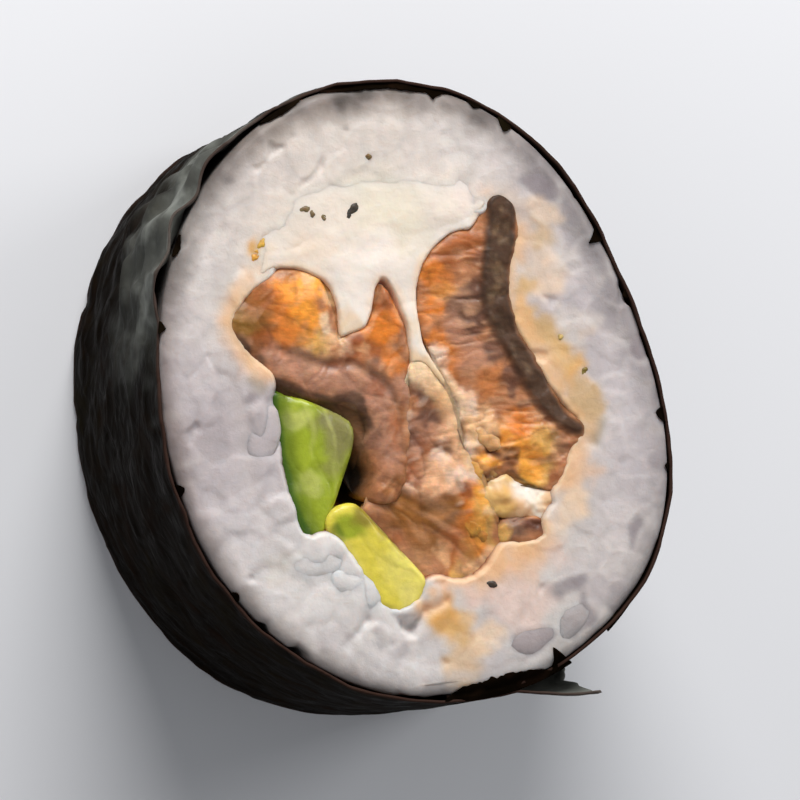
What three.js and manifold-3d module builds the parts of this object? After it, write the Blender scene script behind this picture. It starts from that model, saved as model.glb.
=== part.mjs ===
// One piece of a thick maki sushi roll, standing on a cut end. A nori sheet is wrapped once round
// seasoned rice and overlaps itself. Eel, two cucumber sticks and cream cheese lie in the rice and run
// through it from one cut end to the other. The rice swells out of the nori at both ends.
// Millimetres, +Z up along the roll. The origin is the middle of the footprint, on the table.
import * as THREE from "three";
import { mergeVertices } from "three/addons/utils/BufferGeometryUtils.js";
import Module from "manifold-3d";

const wasm = await Module();
wasm.setup();

// Driving dimensions.
const pieceHeight = 31; // between the two cut ends
const meanRadius = 19.9; // of the nori's outside
const ovalDepth = 2.15; // how far the oval departs from a circle
const ovalHeading = 1.885; // where the oval's long axis points, in radians from +X
const eggDepth = 0.42; // a third swelling, which makes the oval an egg
const eggHeading = -0.5;
const noriThickness = 0.45;
const noriSetback = 1.3; // the rice stands this far out of the nori at each end
const clearance = 0.25; // between neighbouring pieces
const grainLength = 6.8;
const grainWidth = 2.9;
const fillingFoot = 0.4; // the fillings stop this far above the table

// Where the nori overlaps itself.
const seamHeading = -1.45; // the hidden end of the sheet
const seamOverlap = 0.58; // how far the loose end runs past it, in radians
const seamRamp = 0.45; // the stretch in which the sheet climbs over its own end
const layerStep = noriThickness + 0.2;
const flapReach = 0.2; // the stretch of the loose end that stands off
const flapLift = 1.9;

const fullTurn = 2 * Math.PI;
const smooth = (t) => t * t * (3 - 2 * t);
const ramp = (x, from, to) => smooth(THREE.MathUtils.clamp((x - from) / (to - from), 0, 1));

// A repeatable random source.
function seededRandom(seed) {
  let state = seed;
  return () => {
    state = (state * 1664525 + 1013904223) % 4294967296;
    return state / 4294967296;
  };
}

// The outside of the roll: an oval with a slight egg shape.
function rollRadius(heading) {
  return (
    meanRadius +
    ovalDepth * Math.cos(2 * (heading - ovalHeading)) +
    eggDepth * Math.cos(3 * (heading - eggHeading))
  );
}

// How far the hidden end of the sheet pushes the rice inwards, from 0 to 1.
function underSeam(heading) {
  const past = THREE.MathUtils.euclideanModulo(heading - seamHeading + Math.PI, fullTurn) - Math.PI;
  return ramp(past, -seamRamp, 0) * (1 - ramp(past, seamOverlap, seamOverlap + seamRamp));
}

// The inside of the nori, which nothing inside it may pass.
function riceRadius(heading) {
  return rollRadius(heading) - noriThickness - clearance - layerStep * underSeam(heading);
}

// ---- three.js geometry to manifold-3d solids and back

function solidOf(geometry) {
  const bare = geometry.index ? geometry.toNonIndexed() : geometry.clone();
  const position = bare.getAttribute("position");
  const merged = mergeVertices(new THREE.BufferGeometry().setAttribute("position", position), 1e-4);
  return new wasm.Manifold(
    new wasm.Mesh({
      numProp: 3,
      vertProperties: merged.attributes.position.array,
      triVerts: new Uint32Array(merged.index.array),
    }),
  );
}

function geometryOf(solid) {
  const mesh = solid.getMesh();
  const positions = new Float32Array(mesh.numVert * 3);
  for (let i = 0; i < mesh.numVert; i++) {
    positions.set(mesh.vertProperties.subarray(i * mesh.numProp, i * mesh.numProp + 3), i * 3);
  }
  const geometry = new THREE.BufferGeometry();
  geometry.setAttribute("position", new THREE.BufferAttribute(positions, 3));
  geometry.setIndex(new THREE.BufferAttribute(mesh.triVerts, 1));
  geometry.computeVertexNormals();
  return geometry;
}

const unite = (solids) => solids.reduce((whole, next) => whole.add(next));
const largestOf = (solid) => solid.decompose().sort((a, b) => b.volume() - a.volume())[0];

// A closed tube of rings, each an array of points, with a flat cap at each end.
function loft(rings) {
  const sides = rings[0].length;
  const points = rings.flat();
  const faces = [];
  for (let i = 0; i + 1 < rings.length; i++) {
    for (let j = 0; j < sides; j++) {
      const a = i * sides + j;
      const b = i * sides + ((j + 1) % sides);
      faces.push(a, b, b + sides, a, b + sides, a + sides);
    }
  }
  const last = (rings.length - 1) * sides;
  const flat = (ring) => ring.map((p) => new THREE.Vector2(p.x, p.y));
  for (const [a, b, c] of THREE.ShapeUtils.triangulateShape(flat(rings[0]), [])) faces.push(a, c, b);
  for (const [a, b, c] of THREE.ShapeUtils.triangulateShape(flat(rings.at(-1)), [])) {
    faces.push(last + a, last + b, last + c);
  }
  return new THREE.BufferGeometry().setFromPoints(points).setIndex(faces);
}

// ---- nori

// A sheet on edge that goes round once and over its own hidden end, with the dents of the rice behind
// it. Its loose end stands off a little.
function noriSheet() {
  const steps = 120;
  const rows = 7;
  const turn = fullTurn + seamOverlap;
  const low = noriSetback;
  const high = pieceHeight - noriSetback;
  const dent = (along, z) => 0.16 * Math.sin(9 * along + 0.25 * z) * Math.sin(0.42 * z + 3 * along);
  const edge = (along) => 0.25 * Math.sin(13 * along) + 0.2 * Math.sin(29 * along + 1);
  const place = (along, row, inner) => {
    const share = row / rows;
    const z = low + (high - low) * share + (2 * share - 1) * edge(along + 2 * share);
    const heading = seamHeading + along;
    const climb = 1 - ramp(along, seamOverlap, seamOverlap + seamRamp);
    const loose = Math.max(0, (along - turn + flapReach) / flapReach);
    const curl = 0.35 + 0.65 * Math.abs(Math.cos(fullTurn * share));
    const radius =
      rollRadius(heading) -
      layerStep * climb +
      flapLift * curl * loose * loose +
      Math.min(0, dent(heading, z)) * (1 - climb) * 0.5 +
      Math.max(0, dent(heading, z)) * (1 - climb) -
      (inner ? noriThickness : 0);
    return new THREE.Vector3(radius * Math.cos(heading), radius * Math.sin(heading), z);
  };
  // Each ring is the sheet's section at one height: out along the outside, back along the inside.
  const rings = [];
  for (let row = 0; row <= rows; row++) {
    const ring = [];
    for (let i = 0; i <= steps; i++) ring.push(place((turn * i) / steps, row, false));
    for (let i = steps; i >= 0; i--) ring.push(place((turn * i) / steps, row, true));
    rings.push(ring);
  }
  return largestOf(solidOf(loft(rings)));
}

// ---- shapes that the fillings share

// A smooth closed outline through a few points.
function outlineThrough(points) {
  const spline = new THREE.CatmullRomCurve3(
    points.map(([x, y]) => new THREE.Vector3(x, y, 0)),
    true,
    "centripetal",
  );
  return spline.getPoints(points.length * 3).slice(0, -1);
}

// The same outline moved outwards.
function grown(outline, by) {
  return outline.map((point, i) => {
    const before = outline[(i + outline.length - 1) % outline.length];
    const after = outline[(i + 1) % outline.length];
    const along = after.clone().sub(before).normalize();
    return new THREE.Vector3(point.x + along.y * by, point.y - along.x * by, 0);
  });
}

// A straight prism on an outline that runs anticlockwise.
function prism(outline, low, high) {
  const shape = new THREE.Shape(outline.map((p) => new THREE.Vector2(p.x, p.y)));
  const geometry = new THREE.ExtrudeGeometry(shape, { depth: high - low, bevelEnabled: false });
  return solidOf(geometry.translate(0, 0, low));
}

// Everything under a rough surface, to cut a prism's top with.
function under(relief, cell) {
  const side = 48;
  const cells = Math.round(side / cell);
  const block = new THREE.BoxGeometry(side, side, pieceHeight, cells, cells, 1);
  block.translate(0, 0, pieceHeight / 2);
  const position = block.getAttribute("position");
  for (let i = 0; i < position.count; i++) {
    if (position.getZ(i) < pieceHeight / 2) position.setZ(i, -1);
    else position.setZ(i, pieceHeight - relief(position.getX(i), position.getY(i)));
  }
  return solidOf(block);
}

const distanceToPath = (path, x, y) =>
  Math.min(...path.map(([px, py]) => Math.hypot(x - px, y - py)));

// ---- the outlines of the fillings, anticlockwise, seen from above

const outlines = {
  // A fillet that is folded at the left: a lobe, a thin spur that points up, and a tail that turns down.
  eel_left: [
    [-12.7, 5.1], [-12.0, 3.2], [-9.3, 0.9], [-6.9, 0.0], [-3.9, -0.5], [-2.9, -2.0], [-3.2, -4.2],
    [-3.5, -6.4], [-2.6, -7.1], [-1.4, -6.9], [-0.9, -5.2], [-0.5, -2.6], [-0.5, 0.4], [-0.6, 2.9],
    [-1.0, 5.0], [-2.2, 7.8], [-2.9, 4.7], [-4.3, 3.9], [-5.5, 3.6], [-5.7, 5.6], [-6.9, 7.8],
    [-9.3, 8.3], [-11.5, 7.1],
  ],
  // The flaky middle of the pack, which ends in a soft brown belly fold.
  eel_middle: [
    [0.3, 2.2], [0.1, -0.5], [0.1, -2.8], [-0.3, -5.4], [-1.0, -7.4], [-3.0, -7.9], [-1.9, -9.1],
    [-0.7, -10.4], [0.9, -11.9], [2.4, -12.7], [4.3, -12.6], [5.6, -11.4], [6.0, -9.9], [5.6, -8.2],
    [4.9, -6.6], [4.0, -5.2], [3.6, -3.6], [2.9, -1.5], [1.7, 0.6],
  ],
  // A thick fillet with its skin on, and the crumbs of glazed flesh at its foot.
  eel_right: [
    [0.6, 5.6], [1.1, 3.7], [2.4, 1.9], [3.5, -0.2], [4.2, -2.4], [4.7, -4.3], [5.8, -5.4],
    [6.9, -4.6], [8.4, -5.6], [10.2, -6.1], [10.9, -4.7], [11.6, -2.9], [12.1, -1.9], [10.8, -0.3],
    [9.4, 1.5], [8.1, 3.8], [6.9, 6.2], [6.8, 8.7], [7.2, 11.0], [7.0, 12.9], [6.0, 13.8],
    [5.1, 12.7], [4.2, 11.4], [3.0, 11.2], [1.6, 9.9], [0.7, 8.0],
  ],
  cucumber_left: [
    [-10.0, 0.0], [-9.5, -2.4], [-9.4, -5.2], [-8.5, -7.9], [-7.7, -9.9], [-6.7, -9.8], [-5.9, -7.9],
    [-5.1, -5.4], [-4.4, -3.4], [-4.6, -1.9], [-6.6, -1.1], [-8.8, -0.3],
  ],
  cucumber_right: [
    [-6.0, -8.8], [-4.8, -10.7], [-3.6, -12.3], [-2.5, -14.2], [-1.2, -14.9], [0.1, -14.4],
    [0.8, -13.1], [-0.2, -11.8], [-1.6, -10.4], [-2.9, -9.1], [-4.2, -7.8], [-5.3, -8.0],
  ],
  cheese_crumb: [[5.4, -6.9], [6.0, -7.8], [7.9, -7.9], [9.8, -7.8], [10.2, -6.9], [8.4, -6.2], [6.8, -5.4]],
  eel_crumb: [[6.6, -9.9], [8.0, -10.1], [9.3, -9.6], [9.1, -8.5], [7.8, -8.5], [6.5, -8.6]],
};

// The soft cheese is pressed into what space the eel leaves.
const cheeseOutline = [
  [-11.2, 9.9], [-10.6, 7.6], [-7.0, 5.5], [-3.8, 3.2], [-1.6, 1.6], [1.0, -0.6], [3.2, -2.4], [4.2, -1.6],
  [3.8, 2.0], [3.9, 8.0], [5.6, 13.4], [2.4, 14.7], [-2.4, 15.1], [-7.2, 14.0], [-10.2, 12.4],
];

// The cucumber lies against the eel with no rice between, and leaves an empty pocket in the middle.
const pocketOutline = [
  [-9.3, 0.2], [-5.6, -2.6], [-5.8, -7.8], [-3.6, -9.0], [0.1, -12.6], [2.0, -12.0], [-1.6, -8.2], [-2.8, -2.0],
  [-5.2, 0.0],
];

// The line that the dark skin of the right-hand fillet follows.
const skinPath = new THREE.CatmullRomCurve3(
  [[6.1, 13.4], [5.9, 8.5], [6.2, 5.6], [8.3, 1.6], [11.6, -2.2]].map(([x, y]) => new THREE.Vector3(x, y, 0)),
)
  .getPoints(24)
  .map((p) => [p.x, p.y]);

// ---- what each cut end looks like: how far a surface lies below the cut

const ridges = (x, y, heading, pitch) =>
  Math.sin((fullTurn * (x * Math.cos(heading) + y * Math.sin(heading))) / pitch);

const reliefs = {
  eel_left: (x, y) => 0.65 + 0.3 * ridges(x, y, 1.9, 2.6) + 0.15 * ridges(x, y, 0.4, 3.7),
  eel_middle: (x, y) => 0.9 + 0.35 * ridges(x, y, 0.6, 2.4) + 0.2 * ridges(x, y, 2.1, 3.1),
  eel_right: (x, y) => {
    const skin = Math.max(0, 1 - distanceToPath(skinPath, x, y) / 1.3);
    return 0.75 - 0.6 * skin + 0.25 * ridges(x, y, 1.3, 2.3);
  },
  cucumber_left: (x, y) => 0.85 + 0.15 * ridges(x, y, 0.3, 5.0),
  cucumber_right: (x, y) => 0.7 + 0.15 * ridges(x, y, 2.4, 4.4),
  cheese_crumb: () => 0.35,
  eel_crumb: (x, y) => 0.6 + 0.2 * ridges(x, y, 0.9, 1.8),
  cream_cheese: (x, y) => 0.6 + 0.18 * ridges(x, y, 1.1, 6.5) + 0.12 * ridges(x, y, 2.6, 4.2),
};

const reliefCell = 1.2;

function filling(name, outline) {
  return largestOf(prism(outline, fillingFoot, pieceHeight).intersect(under(reliefs[name], reliefCell)));
}

const rounded = Object.fromEntries(
  Object.entries(outlines).map(([name, points]) => [name, outlineThrough(points)]),
);

// Room that the fillings need, as prisms a clearance larger that run past both ends.
function roomFor(outline) {
  return prism(grown(outline, clearance), -1, pieceHeight + 1);
}

const eelRoom = unite(["eel_left", "eel_middle", "eel_right"].map((name) => roomFor(rounded[name])));

function creamCheese() {
  return largestOf(filling("cream_cheese", outlineThrough(cheeseOutline)).subtract(eelRoom));
}

// ---- rice

// Ring of the rice's outline, drawn in by the given amount, at height z.
function riceRing(inset, z) {
  const sides = 72;
  return Array.from({ length: sides }, (_, i) => {
    const heading = (fullTurn * i) / sides;
    const radius = riceRadius(heading) - inset;
    return new THREE.Vector3(radius * Math.cos(heading), radius * Math.sin(heading), z);
  });
}

// One cooked grain, lying at a point with a heading and a pitch.
function grain(x, y, z, heading, pitch, size) {
  const geometry = new THREE.OctahedronGeometry(1, 1);
  geometry.scale((size * grainLength) / 2, (size * grainWidth) / 2, (size * grainWidth) / 2.2);
  geometry.rotateY(-pitch).rotateZ(heading).translate(x, y, z);
  return solidOf(geometry);
}

// Grains over the upper cut end, as far apart as they lie in the real thing, clear of the fillings.
function cutEndGrains(random) {
  const spacing = 3.1;
  const wanted = 92;
  const grains = [];
  const taken = [];
  for (let tries = 0; grains.length < wanted && tries < 6000; tries++) {
    const heading = fullTurn * random();
    const radius = riceRadius(heading) * Math.sqrt(0.2 + 0.72 * random());
    const [x, y] = [radius * Math.cos(heading), radius * Math.sin(heading)];
    if (taken.some(([tx, ty]) => Math.hypot(x - tx, y - ty) < spacing) || inFilling(x, y)) continue;
    taken.push([x, y]);
    const dip = Math.max(0, radius - riceRadius(heading) + 3) * 0.35;
    const z = pieceHeight - 1.25 - dip - 0.35 * random();
    grains.push(grain(x, y, z, Math.PI * random(), 0.9 * random() * random(), 0.85 + 0.25 * random()));
  }
  return grains;
}

// Grains along the shoulder that swells out between the nori and a cut end.
function shoulderGrains(random, z, drift) {
  const count = 34;
  return Array.from({ length: count }, (_, i) => {
    const heading = (fullTurn * (i + 0.6 * random())) / count;
    const radius = riceRadius(heading) - 1.7 - 0.5 * random();
    const lean = heading + Math.PI / 2 + 0.9 * (random() - 0.5);
    return grain(
      radius * Math.cos(heading),
      radius * Math.sin(heading),
      z + drift * random(),
      lean,
      0.5 * (random() - 0.5),
      0.8 + 0.25 * random(),
    );
  });
}

function inside(outline, x, y) {
  let within = false;
  outline.forEach((a, i) => {
    const b = outline[(i + 1) % outline.length];
    if (a.y > y !== b.y > y && x < ((b.x - a.x) * (y - a.y)) / (b.y - a.y) + a.x) within = !within;
  });
  return within;
}

function inFilling(x, y) {
  return [...Object.values(rounded), outlineThrough(cheeseOutline)].some((o) => inside(o, x, y));
}

function rice() {
  const random = seededRandom(11);
  const coreTop = pieceHeight - 1.1;
  const core = solidOf(
    loft([
      riceRing(1.5, 0),
      riceRing(0.6, 0.5),
      riceRing(0, 1.5),
      riceRing(0, pieceHeight - 3.0),
      riceRing(0.7, pieceHeight - 1.8),
      riceRing(1.9, coreTop),
    ]),
  );
  const grains = [
    ...cutEndGrains(random),
    ...shoulderGrains(random, pieceHeight - 2.0, 0.4),
    ...shoulderGrains(random, 1.5, 0.4),
  ];
  const envelope = solidOf(loft([riceRing(0, 0), riceRing(0, pieceHeight)]));
  const pocket = prism(outlineThrough(pocketOutline), -1, pieceHeight + 1);
  const bores = unite([
    ...Object.values(rounded).map(roomFor),
    roomFor(outlineThrough(cheeseOutline)),
    pocket,
  ]);
  return largestOf(unite([core, ...grains]).intersect(envelope).subtract(bores));
}

// ---- the piece

const finishes = {
  nori_sheet: { color: 0x1d1a16, roughness: 0.5 },
  rice: { color: 0xe6ded8, roughness: 0.5 },
  cream_cheese: { color: 0xf6e6d4, roughness: 0.45 },
  cheese_crumb: { color: 0xfaf0e4, roughness: 0.45 },
  eel_left: { color: 0xb4733a, roughness: 0.35 },
  eel_middle: { color: 0x9a6232, roughness: 0.35 },
  eel_right: { color: 0xb87a45, roughness: 0.35 },
  eel_crumb: { color: 0x8a5a34, roughness: 0.4 },
  cucumber_left: { color: 0x8ba23a, roughness: 0.3 },
  cucumber_right: { color: 0xc8c15c, roughness: 0.3 },
};

const shapes = {
  nori_sheet: noriSheet(),
  rice: rice(),
  cream_cheese: creamCheese(),
  ...Object.fromEntries(Object.entries(rounded).map(([name, outline]) => [name, filling(name, outline)])),
};

const piece = new THREE.Group();
for (const [name, finish] of Object.entries(finishes)) {
  const material = new THREE.MeshStandardMaterial({ ...finish, metalness: 0 });
  const mesh = new THREE.Mesh(geometryOf(shapes[name]), material);
  mesh.name = name;
  piece.add(mesh);
}

// Centre the footprint on the origin.
const footprint = new THREE.Box3().setFromObject(piece).getCenter(new THREE.Vector3());
piece.position.set(-footprint.x, -footprint.y, 0);

export default piece;
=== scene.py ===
# One piece of a thick maki roll, standing on a cut end. Nori is wound round rice, and eel, cucumber
# and soft cheese show at the cut. Numbers are millimetres until a mesh is made: x runs right and
# y away as the piece is looked down on, and z runs up along the roll. Headings turn anticlockwise
# from x, in radians unless a note says degrees.
import math

import bmesh
import bpy
import numpy as np
from mathutils import Matrix, Vector
from mathutils.bvhtree import BVHTree
from mathutils.geometry import delaunay_2d_cdt
from mathutils.kdtree import KDTree


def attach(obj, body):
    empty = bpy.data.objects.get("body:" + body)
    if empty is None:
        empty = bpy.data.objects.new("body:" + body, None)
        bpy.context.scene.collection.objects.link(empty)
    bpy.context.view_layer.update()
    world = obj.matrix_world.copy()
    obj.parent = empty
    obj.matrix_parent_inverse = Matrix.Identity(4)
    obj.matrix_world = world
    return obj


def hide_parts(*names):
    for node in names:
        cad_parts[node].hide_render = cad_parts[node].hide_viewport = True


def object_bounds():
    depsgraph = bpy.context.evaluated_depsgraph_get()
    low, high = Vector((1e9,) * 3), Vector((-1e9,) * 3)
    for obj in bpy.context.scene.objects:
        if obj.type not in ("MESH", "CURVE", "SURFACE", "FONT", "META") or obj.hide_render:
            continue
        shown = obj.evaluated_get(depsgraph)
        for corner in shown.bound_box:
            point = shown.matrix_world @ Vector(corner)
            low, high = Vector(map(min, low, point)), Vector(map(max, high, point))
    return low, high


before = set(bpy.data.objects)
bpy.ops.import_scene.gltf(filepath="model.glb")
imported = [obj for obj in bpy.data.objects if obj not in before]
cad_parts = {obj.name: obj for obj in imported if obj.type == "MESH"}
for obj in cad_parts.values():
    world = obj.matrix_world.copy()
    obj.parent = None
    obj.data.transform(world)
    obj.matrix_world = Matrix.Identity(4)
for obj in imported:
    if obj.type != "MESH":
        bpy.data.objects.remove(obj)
cadBox = [list(corner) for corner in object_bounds()]
mm = 0.001
pieceHeight = cadBox[1][2] / mm
fullTurn = 2 * math.pi
print("frame loaded")


def smoothStep(x, low, high):  # 0 up to low, 1 from high on
    t = np.clip((x - low) / (high - low), 0, 1)
    return t * t * (3 - 2 * t)


def fade(x, low, high):  # 1 up to low, 0 from high on
    return 1 - smoothStep(x, low, high)


def bell(x, width):
    return np.exp(-((x / width) ** 2))


def noiseField(seed, cells=32):  # smooth noise from 0 to 1 in space
    lattice = np.random.default_rng(seed).random((cells, cells, cells))

    def sample(points, size):
        scaled = points / size
        cell = np.floor(scaled).astype(int)
        part = scaled - cell
        part = part * part * (3 - 2 * part)
        total = np.zeros(len(points))
        for corner in np.ndindex(2, 2, 2):
            share = np.prod(np.where(corner, part, 1 - part), axis=1)
            i, j, k = ((cell + corner) % cells).T
            total += share * lattice[i, j, k]
        return total

    return sample


softNoise = noiseField(3)
otherNoise = noiseField(8)


def roughNoise(points, size, layers=3):  # several sizes at once, about -1 to 1
    total, weight = np.zeros(len(points)), 0
    for layer in range(layers):
        total += (softNoise(points + 7.7 * layer, size / 2**layer) - 0.5) / 1.7**layer
        weight += 0.5 / 1.7**layer
    return total / weight


def flat(points, z=0.0):  # x and y with one height
    return np.c_[points[:, :2], np.full(len(points), z)]


def rough(points, size, shift=0, layers=3):  # rough noise over x and y, the shift picks another patch of it
    return roughNoise(flat(points) + shift, size, layers)


def hollow(points, x, y, wide, high):  # 1 at the middle of a soft spot, 0 outside it
    return np.exp(-(((points[:, 0] - x) / wide) ** 2) - ((points[:, 1] - y) / high) ** 2)


def flakes(points, heading, pitch, length, seed):  # long pillows with creases between, 0 to 1
    along = points[:, 0] * math.cos(heading) + points[:, 1] * math.sin(heading)
    across = points[:, 1] * math.cos(heading) - points[:, 0] * math.sin(heading)
    bend = 0.8 * pitch * roughNoise(flat(points, 5 + seed), 2.5 * pitch, 2)
    laid = np.c_[along * pitch / length, across + bend, np.full(len(points), 9 * seed)]
    return np.sqrt(np.abs(roughNoise(laid, 1.25 * pitch, 2)))


def linear(tone):  # 0 to 255 as seen, to the light that Blender counts in
    share = np.asarray(tone, float) / 255
    return np.where(share <= 0.04045, share / 12.92, ((share + 0.055) / 1.055) ** 2.4)


def wrapped(heading):  # from minus half a turn to half a turn
    return (heading + math.pi) % fullTurn - math.pi


def polar(points):  # heading and reach from the middle
    return np.arctan2(points[:, 1], points[:, 0]), np.hypot(points[:, 0], points[:, 1])


# Outlines are closed loops of x and y. Paths are open ones.

def nodeOutline(node, step):  # the longest loop round a CAD node at half height, anticlockwise
    shape = bmesh.new()
    shape.from_mesh(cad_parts[node].data)
    bmesh.ops.remove_doubles(shape, verts=shape.verts, dist=1e-6)
    whole = shape.verts[:] + shape.edges[:] + shape.faces[:]
    middle = (0, 0, (0.5 * pieceHeight + 0.03) * mm)  # clear of any vertices at half height
    cut = bmesh.ops.bisect_plane(shape, geom=whole, plane_co=middle, plane_no=(0, 0, 1))["geom_cut"]
    links = {}
    for edge in (e for e in cut if isinstance(e, bmesh.types.BMEdge)):
        a, b = edge.verts
        links.setdefault(a, []).append(b)
        links.setdefault(b, []).append(a)
    loops = []
    while links:
        at = next(iter(links))
        loop = []
        while at is not None:
            loop.append(at.co.to_2d() / mm)
            at = next((v for v in links.pop(at) if v in links), None)
        loops.append(np.array(loop))
    shape.free()
    longest = max(loops, key=lambda loop: np.ptp(loop, axis=0).sum())
    x, y = longest.T
    turning = np.sum(x * np.roll(y, -1) - y * np.roll(x, -1))
    return evenly(longest if turning > 0 else longest[::-1], step)


def evenly(loop, step):
    closed = np.vstack([loop, loop[:1]])
    reach = np.r_[0, np.cumsum(np.linalg.norm(np.diff(closed, axis=0), axis=1))]
    at = np.linspace(0, reach[-1], round(reach[-1] / step), endpoint=False)
    return np.c_[np.interp(at, reach, closed[:, 0]), np.interp(at, reach, closed[:, 1])]


def outwards(loop):  # unit vectors that point out of an anticlockwise loop
    along = np.roll(loop, -1, axis=0) - np.roll(loop, 1, axis=0)
    along /= np.linalg.norm(along, axis=1, keepdims=True)
    return np.c_[along[:, 1], -along[:, 0]]


def distanceTo(loop, points):  # negative inside
    nearest = np.full(len(points), 1e9)
    inside = np.zeros(len(points), bool)
    for a, b in zip(loop, np.roll(loop, -1, axis=0)):
        along = b - a
        offset = points - a
        share = np.clip(offset @ along / (along @ along), 0, 1)
        nearest = np.minimum(nearest, np.hypot(*(offset - share[:, None] * along).T))
        crosses = (a[1] > points[:, 1]) != (b[1] > points[:, 1])
        inside ^= crosses & (offset[:, 0] < offset[:, 1] * along[0] / (along[1] or 1e-12))
    return np.where(inside, -nearest, nearest)


def distanceAlong(path, points):  # how far from an open path, and how far along it
    best, place, run = np.full(len(points), 1e9), np.zeros(len(points)), 0.0
    for a, b in zip(path, path[1:]):
        along = b - a
        length = np.linalg.norm(along)
        share = np.clip((points - a) @ along / length**2, 0, 1)
        gap = np.hypot(*(points - a - share[:, None] * along).T)
        place = np.where(gap < best, run + share * length, place)
        best = np.minimum(best, gap)
        run += length
    return best, place


def smoothPath(*stops, steps=12):  # a Catmull-Rom curve through a few points
    points = np.array(stops, float)
    p = np.vstack([2 * points[0] - points[1], points, 2 * points[-1] - points[-2]])
    t = np.linspace(0, 1, steps, endpoint=False)[:, None]
    runs = [
        0.5 * (2 * b + (c - a) * t + (2 * a - 5 * b + 4 * c - d) * t**2 + (3 * b - a - 3 * c + d) * t**3)
        for a, b, c, d in zip(p, p[1:], p[2:], p[3:])
    ]
    return np.vstack([*runs, points[-1:]])


def triangulated(loop, step, seed, keep=None):  # the area inside a loop as even small triangles
    rng = np.random.default_rng(seed)
    low, high = loop.min(axis=0), loop.max(axis=0)
    rows = np.arange(low[1], high[1], step * math.sqrt(3) / 2)
    columns = np.arange(low[0], high[0], step)
    lattice = np.array([(x + (row % 2) * step / 2, y) for row, y in enumerate(rows) for x in columns])
    lattice += rng.uniform(-0.2, 0.2, lattice.shape) * step
    inner = lattice[distanceTo(loop, lattice) < -0.6 * step]
    if keep is not None:
        inner = inner[keep(inner)]
    count = len(loop)
    rim = [(i, (i + 1) % count) for i in range(count)]
    vectors = [Vector(p) for p in np.vstack([loop, inner])]
    found, _, faces, _, _, _ = delaunay_2d_cdt(vectors, rim, [], 1, 1e-7, False)
    return np.array([v[:] for v in found]), [tuple(f) for f in faces]


def sheetGrid(across, along):  # both values at every crossing, the crossings' numbers, and quads between them
    first, second = (v.ravel() for v in np.meshgrid(across, along, indexing="ij"))
    index = np.arange(len(first)).reshape(len(across), len(along))
    quads = np.stack([index[:-1, :-1], index[1:, :-1], index[1:, 1:], index[:-1, 1:]], axis=-1)
    return first, second, index, quads.reshape(-1, 4)


def ringWall(first, second, count):  # quads between two rings of vertices, by their first index
    return [
        (first + i, second + i, second + (i + 1) % count, first + (i + 1) % count) for i in range(count)
    ]


def placed(name, data):
    holder = bpy.data.objects.new(name, data)
    bpy.context.scene.collection.objects.link(holder)
    return holder


def addValues(mesh, label, values, kind="FLOAT", channel="value"):
    mesh.attributes.new(label, kind, "POINT").data.foreach_set(channel, np.ravel(values))


def newPiece(name, points, faces, paint=None, **extra):
    mesh = bpy.data.meshes.new(name)
    mesh.from_pydata([tuple(p) for p in points * mm], [], faces)
    if paint is not None:
        colour = mesh.color_attributes.new("paint", "FLOAT_COLOR", "POINT")
        colour.data.foreach_set("color", np.c_[np.clip(paint, 0, 1), np.ones(len(paint))].ravel())
    for label, values in extra.items():
        addValues(mesh, label, values)
    mesh.polygons.foreach_set("use_smooth", np.ones(len(mesh.polygons), bool))
    mesh.update()
    return placed(name, mesh)


def finished(piece, material, slot, *nodes):
    piece.data.materials.clear()
    piece.data.materials.append(material)
    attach(piece, "root")
    if nodes:
        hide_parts(*nodes)
    print("made", piece.name, len(piece.data.polygons))
    return piece


# Colour is laid on a surface in soft blotches of these tones.
tones = {
    "riceCream": (216, 206, 198), "riceWhite": (219, 211, 206), "riceChalk": (224, 218, 215),
    "riceLilac": (200, 191, 192), "riceDusk": (184, 174, 175), "riceGrey": (172, 162, 165),
    "riceClear": (140, 130, 134), "riceRim": (120, 108, 114), "riceTan": (184, 156, 142),
    "ricePink": (230, 204, 192),
    "cheese": (247, 234, 223), "cheeseWarm": (245, 212, 176), "cheeseCream": (232, 219, 205),
    "cheeseLemon": (228, 218, 196),
    "ochre": (206, 166, 100), "amber": (216, 156, 56), "peach": (238, 188, 138), "honey": (226, 176, 96),
    "glaze": (226, 130, 38), "glazeBright": (248, 164, 58), "glazeDeep": (166, 90, 34),
    "rust": (140, 68, 28), "sauce": (84, 38, 18),
    "flesh": (176, 116, 76), "fleshPink": (178, 130, 106), "fleshGrey": (128, 96, 78),
    "fleshPale": (238, 184, 142), "fleshWhite": (244, 216, 194), "fleshDark": (98, 64, 50),
    "belly": (150, 94, 34), "bellyDark": (96, 56, 20), "olive": (132, 112, 40),
    "skin": (72, 48, 30), "skinDark": (40, 25, 15), "skinPaleHighlight": (122, 96, 68),
    "leaf": (52, 88, 14), "lime": (158, 172, 40), "limePale": (206, 208, 120), "limeShaded": (140, 134, 82),
    "yellow": (222, 206, 78), "yellowPale": (236, 224, 130),
    # pocket is near-black painted shade for the hole between the fillings
    "pocket": (24, 14, 8), "speck": (40, 32, 20), "speckBrown": (112, 88, 48),
}


def tinted(colour, tone, share):
    return colour + np.clip(share, 0, 1)[:, None] * (linear(tones[tone]) - colour)


def blotched(points, colour, patches, warp, size):  # a patch is x, y, radius, tone and strength
    if isinstance(colour, str):
        colour = np.tile(linear(tones[colour]), (len(points), 1))
    here = flat(points)
    drift = np.c_[softNoise(here, size), otherNoise(here, size)] - 0.5
    fine = np.c_[otherNoise(here + 31, size / 3), softNoise(here + 17, size / 3)] - 0.5
    moved = points[:, :2] + warp * (2 * drift + 1.1 * fine)
    for x, y, radius, tone, strength in patches:
        gap = np.hypot(moved[:, 0] - x, moved[:, 1] - y)
        colour = tinted(colour, tone, strength * fade(gap, 0.5 * radius, 1.3 * radius))
    return colour


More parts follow.
